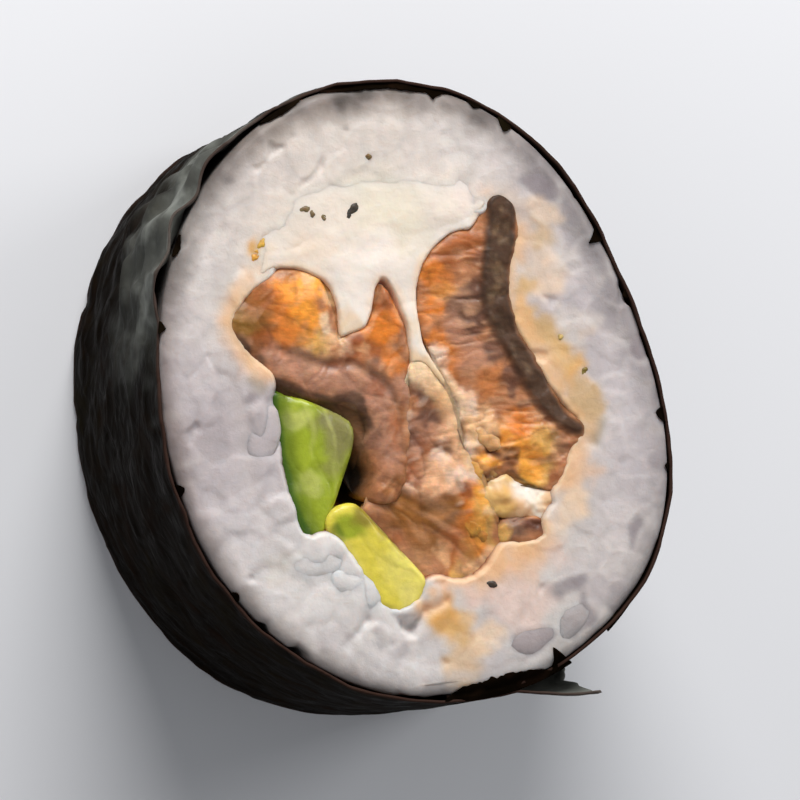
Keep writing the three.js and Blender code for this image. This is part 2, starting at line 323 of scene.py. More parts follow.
def wire(tree, node, inputs):  # by name or number, each a socket to link or a value to set
    for label, value in inputs.items():
        if isinstance(value, bpy.types.NodeSocket):
            tree.links.new(value, node.inputs[label])
        else:
            node.inputs[label].default_value = value


def addNode(tree, kind, inputs=None, **settings):
    node = tree.nodes.new(kind)
    for label, value in settings.items():
        setattr(node, label, value)
    wire(tree, node, inputs or {})
    return node


def newMaterial(name):
    material = bpy.data.materials.new(name)
    material.use_nodes = True
    tree = material.node_tree
    shader = next(n for n in tree.nodes if n.type == "BSDF_PRINCIPLED")
    return material, tree, shader, addNode(tree, "ShaderNodeTexCoord").outputs["Object"]


def noiseNode(tree, coords, size, detail=3.0, stretch=(1, 1, 1), distortion=0.0):
    place = addNode(tree, "ShaderNodeMapping", {"Scale": stretch, "Vector": coords})
    return addNode(tree, "ShaderNodeTexNoise", {
        "Scale": 1 / (size * mm), "Detail": detail, "Distortion": distortion,
        "Vector": place.outputs["Vector"],
    }).outputs["Fac"]


def crackleNode(tree, coords, size):  # distance to the nearest wall between cells
    inputs = {"Scale": 1 / (size * mm), "Vector": coords}
    return addNode(tree, "ShaderNodeTexVoronoi", inputs, feature="DISTANCE_TO_EDGE").outputs["Distance"]


def rangeNode(tree, value, *limits):  # from low, from high, to low, to high
    inputs = dict(zip(("From Min", "From Max", "To Min", "To Max"), limits))
    return addNode(tree, "ShaderNodeMapRange", {**inputs, "Value": value}).outputs["Result"]


def mixNode(tree, share, first, second, blend="MIX"):
    mix = addNode(tree, "ShaderNodeMix", data_type="RGBA", blend_type=blend)
    low, high = (number for number, socket in enumerate(mix.inputs) if socket.type == "RGBA")
    wire(tree, mix, {"Factor": share, low: first, high: second})
    return next(s for s in mix.outputs if s.type == "RGBA")


def addBumps(tree, shader, *layers):  # each layer is a height, how deep it is, and its strength
    before = {}
    for height, depth, strength in layers:
        inputs = {"Distance": depth * mm, "Strength": strength, "Height": height, **before}
        before = {"Normal": addNode(tree, "ShaderNodeBump", inputs).outputs["Normal"]}
    wire(tree, shader, before)


def attributeNode(tree, name, output):
    return addNode(tree, "ShaderNodeAttribute", attribute_name=name).outputs[output]


def foodMaterial(name, look):  # a painted, moist, slightly see-through surface
    material, tree, shader, coords = newMaterial(name)
    mottle = noiseNode(tree, coords, look["mottleSize"], 4.0)
    shade = rangeNode(tree, mottle, 0.3, 0.7, *look["mottle"])
    paint = attributeNode(tree, "paint", "Color")
    if "fibre" in look:  # fine threads that run across
        size, stretch, low, high = look["fibre"]
        threads = noiseNode(tree, coords, size, 3.0, (1 / stretch, 1, 1), 0.5)
        paint = mixNode(tree, 1.0, paint, rangeNode(tree, threads, 0.35, 0.65, low, high), "MULTIPLY")
    sheen = rangeNode(tree, mottle, 0.35, 0.65, *look["roughness"])
    dry = rangeNode(tree, attributeNode(tree, "dry", "Fac"), 0, 1, 0, 0.72)
    fine = noiseNode(tree, coords, look["grainSize"], 3.0, (1, 1, 1), 0.6)
    addBumps(tree, shader, (mottle, look["mottleDepth"], 0.8), (fine, look["grainDepth"], 0.8))
    wire(tree, shader, {
        "Base Color": mixNode(tree, 1.0, paint, shade, "MULTIPLY"),
        "Roughness": addNode(
            tree, "ShaderNodeMath", {0: sheen, 1: dry}, operation="MAXIMUM"
        ).outputs["Value"],
        "Subsurface Weight": look["glow"],
        "Subsurface Radius": look["glowReach"],
        "Subsurface Scale": mm,
        "Coat Weight": look["wet"],
        "Coat Roughness": look["wetRoughness"],
        "IOR": look["ior"],
    })
    return material


viewLook = {
    "azimuth": 288,  # degrees, from the front
    "elevation": 75.5,
    "distance": 420,
    "across": 55.4,  # how much the picture spans at the cut
    "centre": (-1.35, -0.75),
}


def setCamera(look):
    azimuth, elevation = math.radians(look["azimuth"]), math.radians(look["elevation"])
    level = math.cos(elevation)
    back = Vector((math.sin(azimuth) * level, -math.cos(azimuth) * level, math.sin(elevation)))
    right = Vector((0, 1, 0)).cross(back).normalized()
    up = back.cross(right)
    camera = bpy.data.cameras.new("camera")
    camera.sensor_width = 36
    camera.lens = camera.sensor_width * look["distance"] / look["across"]
    camera.clip_start, camera.clip_end = 0.02, 20
    holder = placed("camera", camera)
    turn = Matrix((right, up, back)).transposed().to_4x4()
    target = Vector((*look["centre"], pieceHeight)) * mm
    holder.matrix_world = Matrix.Translation(target + back * look["distance"] * mm) @ turn
    bpy.context.scene.camera = holder


lightLook = {
    # name: place, aim, size across, power in watts, colour
    "windowLight": ((-27, 245, 205), (0, 0, 20), 175, 1.06, (1.0, 0.985, 0.965)),
    "frontFill": ((-160, -300, 300), (0, 0, 15), 320, 0.12, (0.95, 0.975, 1.0)),
    "sideGlint": ((260, 120, 240), (0, 0, 25), 140, 0.25, (1.0, 1.0, 1.0)),
}
worldLook = {"colour": (0.95, 0.97, 1.0), "strength": 0.27}


def setLights():
    for name, (place, aim, size, power, colour) in lightLook.items():
        light = bpy.data.lights.new(name, "AREA")
        light.shape, light.size = "DISK", size * mm
        light.energy, light.color = power, colour
        holder = placed(name, light)
        holder.location = Vector(place) * mm
        holder.rotation_euler = (Vector(aim) - Vector(place)).to_track_quat("-Z", "Y").to_euler()
    world = bpy.data.worlds.new("softRoom")
    bpy.context.scene.world = world
    world.use_nodes = True
    backdrop = next(n for n in world.node_tree.nodes if n.type == "BACKGROUND")
    wire(world.node_tree, backdrop, {"Color": (*worldLook["colour"], 1), "Strength": worldLook["strength"]})
    bpy.context.scene.view_settings.view_transform = "Standard"


floorLook = {"half": 900, "tone": (229, 230, 234), "haze": 90, "roughness": (0.35, 0.45)}


def makeFloor(look):
    half = look["half"]
    corners = np.array([(-half, -half, 0), (half, -half, 0), (half, half, 0), (-half, half, 0)], float)
    floor = newPiece("floor", corners, [(0, 1, 2, 3)])
    material, tree, shader, coords = newMaterial("paleTable")
    haze = noiseNode(tree, coords, look["haze"], 2.0)
    wire(tree, shader, {
        "Base Color": (*linear(look["tone"]), 1),
        "Roughness": rangeNode(tree, haze, 0.3, 0.7, *look["roughness"]),
    })
    floor.data.materials.append(material)


setCamera(viewLook)
setLights()
makeFloor(floorLook)
print("camera and light set")

# The nori is one sheet, wound once round and over its own end.
noriLook = {
    "centre": (-0.25, -0.41),  # of the winding
    "meanRadius": 19.9,
    "ovalDepth": 2.15,
    "ovalHeading": 1.885,
    "eggDepth": 0.42,
    "eggHeading": -0.5,
    "thickness": 0.2,
    "setback": 0.75,  # from each cut end
    "torn": 0.5,  # how uneven its edges are
    "seamHeading": -1.45,  # the hidden end
    "seamOverlap": 0.5,
    "seamRamp": 0.45,
    "layerStep": 0.42,
    "flapReach": 0.27,
    "flapLift": 2.9,
    "flapTear": 0.09,
    "dents": 0.22,
    "folds": 0.5,  # running up and down where the sheet bunches
    "crinkles": 0.3,
    "bulge": 1.4,  # where it stands off the rice
    "pale": 2.5,  # the heading where its crinkled crest gets a pale painted sheen
    "rim": 0.35,  # how far in from its edges it shows the cut
    "columns": 460,
    "rows": 92,
}
noriTones = {
    "dark": (13, 8, 4), "olive": (27, 22, 11), "plum": (28, 17, 10), "rim": (66, 48, 42),
    # a pale painted sheen for the crinkled crest and the lifted flap
    "bloom": (146, 149, 142),
}


def rollRadius(heading):
    oval = noriLook["ovalDepth"] * np.cos(2 * (heading - noriLook["ovalHeading"]))
    egg = noriLook["eggDepth"] * np.cos(3 * (heading - noriLook["eggHeading"]))
    return noriLook["meanRadius"] + oval + egg


def headingShare(heading, middle, width):  # 1 towards the middle heading, fading to 0 that far off
    return fade(np.abs(wrapped(heading - middle)), 0.3 * width, width)


def rolled(radius, heading, z):
    x0, y0 = noriLook["centre"]
    return np.c_[x0 + radius * np.cos(heading), y0 + radius * np.sin(heading), 0 * heading + z]


def makeNori(look):
    turn = fullTurn + look["seamOverlap"]
    columns, rows = np.linspace(0, turn, look["columns"]), np.linspace(0, 1, look["rows"])
    along, share, index, quads = sheetGrid(columns, rows)
    spread = np.c_[along * look["meanRadius"], np.zeros(len(along)), share * pieceHeight]  # laid flat

    def laidNoise(shift, sizes, layers=3):
        return roughNoise(spread + shift, np.array(sizes), layers)

    torn = look["torn"] * roughNoise(np.c_[spread[:, 0], 40 * (share > 0.5), 0 * along], 4.0, 4)
    low, high = look["setback"], pieceHeight - look["setback"]
    z = low + (high - low) * share + (2 * share - 1) * torn * smoothStep(np.abs(2 * share - 1), 0.8, 1)
    climb = fade(along, look["seamOverlap"], look["seamOverlap"] + look["seamRamp"])
    loose = np.clip((along - turn + look["flapReach"]) / look["flapReach"], 0, 1)
    jagged = 0.6 + roughNoise(np.c_[0 * share, 0 * share, 31 * share], 3.5, 4)
    heading = look["seamHeading"] + along - look["flapTear"] * loose * jagged
    curl = 0.1 + 0.9 * smoothStep(share, 0.78, 1.02) + 0.15 * laidNoise(0, 4.0)
    dents = look["dents"] * laidNoise(0, (6.0, 1.0, 6.0), 2)
    pleats = np.abs(laidNoise(60, (4.5, 1.0, 10.0), 2))
    bunched = 0.2 + headingShare(heading, 2.4, 0.95) + 0.3 * headingShare(heading, -2.6, 1.0)
    crinkles = look["crinkles"] * (0.3 - np.abs(laidNoise(40, (3.2, 1.0, 2.6))))
    relief = dents + look["folds"] * (pleats - 0.2) * bunched + crinkles * (0.5 + bunched)
    bulge = look["bulge"] * headingShare(heading, look["pale"], 0.5) * (softNoise(spread + 11, 2.2) - 0.1)
    relief = (relief + bulge * smoothStep(share, 0, 0.8)) * (1 - 0.85 * climb)
    relief = np.maximum(relief, 0.2 * (relief + 0.1) - 0.1)  # the rice holds it out
    outer = rollRadius(heading) - look["layerStep"] * climb + look["flapLift"] * curl * loose**1.3 + relief
    sheet = [rolled(radius, heading, z) for radius in (outer, outer - look["thickness"])]
    count = len(along)
    faces = [*quads.tolist(), *(quads[:, ::-1] + count).tolist()]
    for line, turned in ((index[:, 0], False), (index[:, -1], True), (index[0], True), (index[-1], False)):
        for p, q in zip(line.tolist(), line[1:].tolist()):
            edge = (p, p + count, q + count, q)
            faces.append(edge[::-1] if turned else edge)
    rimShare = np.exp(-np.minimum(share, 1 - share) * (high - low) / look["rim"])
    ragged = 0.25 * laidNoise(71, (3.0, 1.0, 5.0))
    # Pale painted sheen on the crinkles of the crest round the pale heading, and on the lifted flap's edge.
    bloom = headingShare(heading + ragged, look["pale"], 0.7) * smoothStep(share + ragged, 0.35, 0.95)
    bloom *= 0.3 + 0.7 * smoothStep(laidNoise(25, (1.8, 1.0, 4.0), 4), -0.3, 0.5)
    bloom = np.maximum(bloom, loose * (0.15 + 0.55 * smoothStep(share + ragged, 0.7, 1.0)))
    inside = np.clip(np.vstack(sheet), *(np.array(corner) / mm for corner in cadBox))
    return newPiece("noriWrap", inside, faces, rimShare=np.tile(rimShare, 2), bloom=np.tile(bloom, 2))


def noriMaterial():
    material, tree, shader, coords = newMaterial("driedNori")
    wide = noiseNode(tree, coords, 7.0, 4.0)
    small = noiseNode(tree, coords, 2.4, 4.0, (1, 1, 1), 0.8)
    fine = noiseNode(tree, coords, 0.6, 2.0)
    # the last tone, pale, is the painted sheen
    dark, olive, plum, rimTone, pale = ((*linear(tone), 1) for tone in noriTones.values())
    patch = mixNode(tree, rangeNode(tree, wide, 0.42, 0.62, 0, 1), plum, olive)
    colour = mixNode(tree, rangeNode(tree, small, 0.48, 0.72, 0, 1), dark, patch)
    # how much of the pale painted sheen shows
    sheenShare = rangeNode(tree, attributeNode(tree, "bloom", "Fac"), 0, 1, 0, 0.9)
    rim = rangeNode(tree, attributeNode(tree, "rimShare", "Fac"), 0.1, 0.9, 0, 0.75)
    veins = rangeNode(tree, crackleNode(tree, coords, 2.6), 0.0, 0.12, 1, 0)
    addBumps(tree, shader, (small, 0.3, 0.7), (veins, 0.05, 0.4), (fine, 0.04, 0.4))
    wire(tree, shader, {
        "Base Color": mixNode(tree, rim, mixNode(tree, sheenShare, colour, pale), rimTone),
        "Roughness": rangeNode(tree, small, 0.3, 0.7, 0.36, 0.62),
        "IOR": 1.06,
        "Specular IOR Level": 0.15,
    })
    return material


noriFinish = noriMaterial()
finished(makeNori(noriLook), noriFinish, "nori", "nori_sheet")

# Where the fillings are, for the rice that gives way to them.
eelNodes = ("eel_left", "eel_middle", "eel_right", "eel_crumb")
cheeseNodes = ("cream_cheese", "cheese_crumb")
cucumberNodes = ("cucumber_left", "cucumber_right")
coarse = {node: nodeOutline(node, 0.7) for node in eelNodes + cheeseNodes + cucumberNodes}


def nearestFilling(points, nodes=tuple(coarse)):
    return np.min([distanceTo(coarse[node], points[:, :2]) for node in nodes], axis=0)


cheeseLook = {
    "smear": 0.16,  # how high the knife's streaks stand in it
    "patches": [
        (-3.4, 13.8, 3.4, "cheeseLemon", 0.75), (-8.6, 12.0, 2.8, "cheeseCream", 0.9),
        (1.6, 13.2, 2.4, "cheeseCream", 0.7), (-0.8, 10.6, 1.9, "cheeseLemon", 0.5),
        (0.8, 8.8, 1.0, "cheeseWarm", 0.45), (-10.6, 8.8, 1.2, "cheeseWarm", 0.5),
        (-5.6, 11.6, 1.8, "cheeseCream", 0.6), (-7.4, 9.8, 1.4, "cheeseWarm", 0.3),
        (-5.6, 4.6, 0.9, "cheeseWarm", 0.6), (-4.6, 3.9, 0.8, "honey", 0.4),
        (-6.1, 6.6, 0.7, "cheeseWarm", 0.6),
        (0.2, 4.2, 0.8, "cheeseWarm", 0.4), (1.4, 1.2, 1.0, "peach", 0.7), (2.6, -0.6, 1.0, "peach", 0.9),
        (3.2, -2.0, 0.9, "peach", 0.9), (4.3, 14.0, 1.2, "ricePink", 0.5),
    ],
}


def cheeseShare(points):  # 1 in the middle of the soft cheese, fading out into the rice
    gap = nearestFilling(points, cheeseNodes[:1]) + 0.8 * rough(points, 2.4, 41)
    byEel = fade(nearestFilling(points, eelNodes), 0.4, 2.2)
    return np.maximum(fade(gap, -2.4, 2.8), byEel * fade(gap, 0.2, 1.2))


def cheeseColour(points):
    return blotched(points, "cheese", cheeseLook["patches"], 1.0, 2.6)


riceLook = {
    "grain": (6.0, 2.85, 2.6),  # length, width and depth
    "shoulder": 0.85,
    "inset": 0.27,
    "topStep": 0.145,
    "footStep": 0.42,
    "rimPoints": 700,
    "grains": 430,
    "closest": 1.55,
    "dome": 0.36,
    "deepest": 1.5,
    "pit": (0.3, 0.9),  # the deepest hole where the knife smeared the grains, and where they are whole
    "evened": (2, 5),  # how often the surface is evened out there
    "faint": 0.5,  # how much of the grains' relief the knife left
    "cheeseOverlap": 1.3,  # how far it runs on under the soft cheese
    "knifeWave": 0.3,
    "tuck": 1.4,  # how far it drops under a filling
    "pocket": (-4.6, -6.2, 1.5, 2.2),  # the hole between the fillings: x, y and half its size
    "pocketDepth": 3.0,
    "bridge": 1.1,  # half the widest gap between fillings that it stays out of
    "glassy": [  # grains that the knife cut clean: x, y, heading in degrees and size
        (8.7, 14.5, -20, 0.85), (8.0, -17.5, 20, 1.1), (11.6, -16.0, 60, 1.2), (14.2, 9.6, -60, 0.6),
        (16.0, 3.0, -75, 0.6), (15.6, -9.6, 80, 0.7), (10.6, -13.6, 35, 0.8),
    ],
    "rimStainAndShade": [  # how dark its edge is by the nori, partly the nori's stain and partly painted shade on the shoulder: heading in degrees, how dark and how far in
        (-180, 0.45, 1.8), (-150, 0.42, 1.6), (-120, 0.42, 1.8), (-100, 0.4, 2.2), (-80, 0.33, 1.9),
        (-50, 0.34, 2.1), (-20, 0.35, 2.6), (20, 0.42, 3.2), (50, 0.52, 3.2), (75, 0.68, 2.8),
        (110, 0.76, 2.7), (135, 0.7, 2.4), (160, 0.55, 1.9), (180, 0.45, 1.8),
    ],
    "round": [  # how it changes round the roll, its darker tones on the right partly painted shade: heading in degrees and tone
        (-180, "riceLilac"), (-168, "riceDusk"), (-150, "riceLilac"), (-125, "riceChalk"), (-90, "riceChalk"),
        (-55, "riceWhite"), (-20, "riceLilac"), (60, "riceLilac"), (80, "riceWhite"), (95, "riceCream"),
        (125, "riceCream"), (150, "riceWhite"), (180, "riceLilac"),
    ],
    "patches": [
        (8.4, 10.4, 1.3, "ochre", 0.55), (7.7, 7.6, 1.2, "ochre", 0.8), (7.6, 5.6, 1.0, "honey", 0.7),
        (9.0, 4.2, 1.6, "ochre", 0.8), (10.6, 2.2, 1.9, "honey", 0.7), (11.6, 1.4, 1.0, "amber", 0.45),
        (12.0, -0.4, 1.3, "ochre", 0.7), (12.2, -2.4, 0.9, "olive", 0.5), (9.4, 8.0, 1.5, "cheeseWarm", 0.6),
        (11.4, 5.0, 1.5, "riceCream", 0.6), (8.6, 12.6, 1.3, "cheeseWarm", 0.5),
        (10.6, 9.5, 1.5, "riceCream", 0.5),
        (1.6, -14.6, 1.3, "peach", 0.8), (2.6, -15.6, 1.5, "honey", 0.6), (2.4, -15.4, 0.8, "amber", 0.5),
        (2.6, -17.0, 1.4, "honey", 0.6), (3.6, -18.6, 1.6, "honey", 0.5),
        (5.0, -17.6, 1.3, "cheeseWarm", 0.7),
        (6.6, -12.0, 1.6, "peach", 0.8), (8.3, -12.6, 1.2, "peach", 0.6), (5.0, -14.0, 1.3, "ricePink", 0.9),
        (7.4, -14.6, 2.4, "ricePink", 0.8), (10.2, -11.6, 1.6, "ricePink", 0.6),
        (10.6, -8.4, 1.2, "cheeseWarm", 0.6), (11.9, -5.8, 1.3, "peach", 0.5),
        (11.6, -7.6, 1.0, "cheeseWarm", 0.6), (-11.5, 9.3, 0.7, "amber", 0.85),
        (-11.0, 10.2, 0.5, "amber", 0.7), (-12.4, 7.2, 0.9, "cheeseWarm", 0.4),
        (-13.0, 4.4, 0.9, "peach", 0.4), (-13.2, 1.9, 0.8, "riceTan", 0.5), (-11.6, 0.6, 0.9, "olive", 0.35),
        (-12.1, -0.6, 0.6, "riceRim", 0.5), (-5.5, -16.8, 1.3, "riceGrey", 0.3),
        (-1.7, -17.6, 0.8, "riceClear", 0.4),
        (-9.6, -12.6, 1.4, "cheeseLemon", 0.2),
    ],
    "pocketPatches": [  # what shows where it drops between the fillings: sauce stains, and near-black painted shade in the hole
        (-4.4, -5.6, 2.0, "pocket", 1.0), (-3.6, -7.0, 1.6, "pocket", 0.9), (-4.4, -2.6, 1.4, "sauce", 0.8),
        (-10.6, 0.2, 1.2, "sauce", 0.6), (-0.5, 4.0, 1.6, "cheeseWarm", 0.9), (1.0, 2.0, 1.2, "peach", 0.9),
        (2.6, -0.6, 1.4, "peach", 0.8), (3.8, -3.6, 1.4, "glazeDeep", 0.7), (5.4, -6.4, 1.4, "honey", 0.8),
        (5.8, -9.0, 1.2, "glazeDeep", 0.7), (8.0, -8.6, 1.2, "honey", 0.7),
        (-0.8, -1.0, 1.2, "fleshGrey", 0.8),
    ],
}


def riceRim(inset, count):
    heading = np.linspace(0, fullTurn, count, endpoint=False)
    past = wrapped(heading - noriLook["seamHeading"])
    over, ramp = noriLook["seamOverlap"], noriLook["seamRamp"]
    under = smoothStep(past, -0.3 * ramp, 0) * fade(past, over, over + ramp)
    radius = rollRadius(heading) - riceLook["inset"] - noriLook["layerStep"] * under - inset
    return rolled(radius, heading, 0)[:, :2]


def roundedShare(points):  # where the knife left the grains whole
    heading, reach = polar(points)
    low = headingShare(heading, -2.15, 0.95) * smoothStep(reach, 5, 9)
    return np.maximum(0.5 * low, fade(nearestFilling(points, cucumberNodes), 1.2, 3.2))


def grainSwarm(look, rim, side, seed):  # centres, axes and half sizes of the grains under one cut end
    rng = np.random.default_rng(seed)
    x0, y0 = noriLook["centre"]
    shoulder = look["shoulder"]
    edgeHeading = np.linspace(0, fullTurn, len(rim), endpoint=False)
    edgeReach = np.hypot(rim[:, 0] - x0, rim[:, 1] - y0)
    centres, frames, halves = [], [], []

    def add(place, longAxis, size):
        longAxis = longAxis / np.linalg.norm(longAxis)
        second = np.cross(longAxis, rng.normal(size=3))
        second /= np.linalg.norm(second)
        centres.append(place)
        frames.append(np.array([longAxis, second, np.cross(longAxis, second)]))
        halves.append(0.5 * size * np.array(look["grain"]))

    for x, y, turned, size in look["glassy"] if side > 0 else []:
        turned = math.radians(turned)
        add(np.array([x, y, pieceHeight - 0.7]), np.array([math.cos(turned), math.sin(turned), 0.12]), size)
    while len(centres) < look["grains"]:
        heading = rng.uniform(0, fullTurn)
        edge = np.interp(heading, edgeHeading, edgeReach, period=fullTurn)
        out = np.array([math.cos(heading), math.sin(heading), 0.0])
        if rng.random() < 0.22:  # on the shoulder
            lean = rng.uniform(0.25, 1.8)
            normal = out * math.sin(lean) + np.array([0, 0, side * math.cos(lean)])
            place = out * (edge - shoulder) + normal * shoulder
            place[2] = side * shoulder * (math.cos(lean) - 1)
        else:
            normal = np.array([0, 0, float(side)])
            place = out * (edge - 0.5 * shoulder) * math.sqrt(rng.random())
        place = place + np.array([x0, y0, pieceHeight if side > 0 else 0.0])
        whole = roundedShare(place[None])[0]
        place = place - normal * rng.uniform(-0.4 + 1.5 * whole, 2.2)
        if min(np.linalg.norm(place - c) for c in centres[-900:] or [place + 9]) < look["closest"]:
            continue
        longAxis = rng.normal(size=3)
        longAxis -= 0.5 * normal * (longAxis @ normal)
        add(place, longAxis, rng.uniform(0.8, 1.1))
    return centres, frames, halves


def sunkBetweenGrains(points, normals, swarm, look, seed):
    # How deep each point of the knife's cut lies once only grains are left, which grain it shows, and
    # how far it is from the next grain.
    first, second = np.full(len(points), look["deepest"]), np.full(len(points), look["deepest"] + 1)
    owner = np.full(len(points), -1)
    for number, (centre, axes, half) in enumerate(zip(*swarm)):
        near = np.flatnonzero(((points - centre) ** 2).sum(axis=1) < (half[0] + look["deepest"]) ** 2)
        if not len(near):
            continue
        place = (points[near] - centre) @ axes.T / half
        ray = normals[near] @ axes.T / half
        a, b, c = (ray**2).sum(1), (place * ray).sum(1), (place**2).sum(1) - 1
        root = b**2 - a * c
        hit = (root > 0) & (b > 0) & (c > 0)
        depth = np.full(len(near), 9.0)
        depth[hit] = (b[hit] - np.sqrt(root[hit])) / a[hit]
        within = c <= 0
        depth[within] = 1.1 * c[within]
        closer = depth < first[near]
        second[near] = np.where(closer, first[near], np.minimum(second[near], depth))
        owner[near] = np.where(closer, number, owner[near])
        first[near] = np.where(closer, depth, first[near])
    gap = second - first
    whole = roundedShare(points)
    dome = look["dome"] * (0.35 + 0.65 * whole)
    level = np.where(first < 0, -dome * (1 - np.exp(first / dome)), first)
    lift = np.random.default_rng(seed).uniform(-0.12, 0.14, len(swarm[0]) + 1)[owner]
    seat = smoothStep(gap, 0.0, 0.25)  # so that a grain's own level fades out at its edge
    smeared, unbroken = look["pit"]
    level = np.clip(level, -look["dome"], smeared + (unbroken - smeared) * whole)
    return level + lift * seat * smoothStep(-first, 0.0, 0.2), owner, gap


def cutLevel(points):  # where the knife went
    return pieceHeight - riceLook["dome"] - riceLook["knifeWave"] * softNoise(flat(points), 9.0)


def ricePlain(points):  # its colour before any grain shows
    at = np.radians([stop for stop, _ in riceLook["round"]])
    stops = np.array([linear(tones[tone]) for _, tone in riceLook["round"]])
    colour = np.array([np.interp(polar(points)[0], at, channel) for channel in stops.T]).T
    near = fade(nearestFilling(points), 0.3, 4.0)
    return tinted(colour, "riceCream", 0.7 * near * (1 - roundedShare(points)))


def riceColour(points, side, owner, gap, rimGap):
    clear, pale = np.random.default_rng(77).random((2, owner.max() + 2))[:, owner]
    cloud, fleck = rough(points, 4.5), rough(points, 1.2, 23)
    heading, reach = polar(points)
    whole = roundedShare(points)
    colour = ricePlain(points) * (1 + 0.1 * (pale - 0.5) + 0.08 * fleck)[:, None]
    right = headingShare(heading, 0.1, 1.9)
    byCheese = fade(nearestFilling(points, cheeseNodes[:1]) + cloud, 0.5, 3.0)
    # Greyer see-through grains, weighted to the right, where the grey is partly painted shade.
    glassy = smoothStep(0.3 * clear + 0.7 * cloud + 0.2 * fleck, 0.0, 0.7)
    glassy = glassy * (0.35 + 0.3 * right) * (1 - 0.7 * whole) * (1 - 0.9 * byCheese)
    colour = tinted(colour, "riceGrey", glassy)
    spokes = roughNoise(np.c_[20 * heading, 0.25 * reach, 0 * heading], 0.9)
    colour = tinted(colour, "riceWhite", 0.4 * smoothStep(spokes, 0.1, 0.6) * fade(rimGap, 0.5, 5))
    # Darker and tanner towards the nori: partly the nori's stain, partly painted shade on the rice's
    # shoulder.
    at, share, width = np.array(riceLook["rimStainAndShade"], float).T
    share, width = (np.interp(np.degrees(heading), at, stops) for stops in (share, width))
    rimStainAndShade = share * fade(rimGap + 0.5 * cloud + 0.5 * fleck + 0.3 * spokes, 0.15 * width, width)
    tan = np.maximum(headingShare(heading, -2.6, 1.5), 0.7 * headingShare(heading, 1.8, 0.9))
    colour = tinted(colour, "riceTan", 0.7 * tan * rimStainAndShade) * (1 - rimStainAndShade * (0.8 + 0.35 * clear))[:, None]
    if side > 0:
        chosen = (owner >= 0) & (owner < len(riceLook["glassy"]))
        colour = tinted(colour, "riceClear", 0.7 * chosen * smoothStep(gap, 0.05, 0.35))
        colour = tinted(colour, "riceWhite", 0.5 * chosen * bell(gap, 0.1))
    # Where grains meet it is painted greyer, as painted shade between them, and on the right lighter instead.
    edge = bell(gap, 0.16) * (1 - 0.5 * whole)
    return tinted(tinted(colour, "riceWhite", 0.25 * edge * right), "riceGrey", 0.2 * edge * (1 - right))


def edgePairs(faces):  # every two vertices that share an edge, both ways round
    edges = np.array([(face[i - 1], face[i]) for face in faces for i in range(len(face))])
    return np.unique(np.vstack([edges, edges[:, ::-1]]), axis=0).T


def evenedOut(values, pairs, rounds):
    first, second = pairs
    shares = np.bincount(first, minlength=len(values))[:, None]
    for _ in range(rounds):
        sums = np.array([np.bincount(first, column[second], len(values)) for column in values.T]).T
        values = 0.5 * values + 0.5 * sums / shares
    return values


def firmFilling(points):  # distance to what the rice drops away from
    cheese = nearestFilling(points, cheeseNodes[:1]) + riceLook["cheeseOverlap"]
    return np.minimum(cheese, nearestFilling(points, eelNodes + cucumberNodes + cheeseNodes[1:]))


def betweenFillings(points, bridge):  # the same with the narrow gaps closed
    gaps = firmFilling(points)
    outside = np.flatnonzero(gaps > bridge)
    tree = KDTree(len(outside))
    for number in outside:
        tree.insert((*points[number], 0), number)
    tree.balance()
    closed = [bridge - tree.find((*point, 0))[2] for point in points[gaps <= bridge]]
    gaps[gaps <= bridge] = np.minimum(gaps[gaps <= bridge], closed)
    return gaps


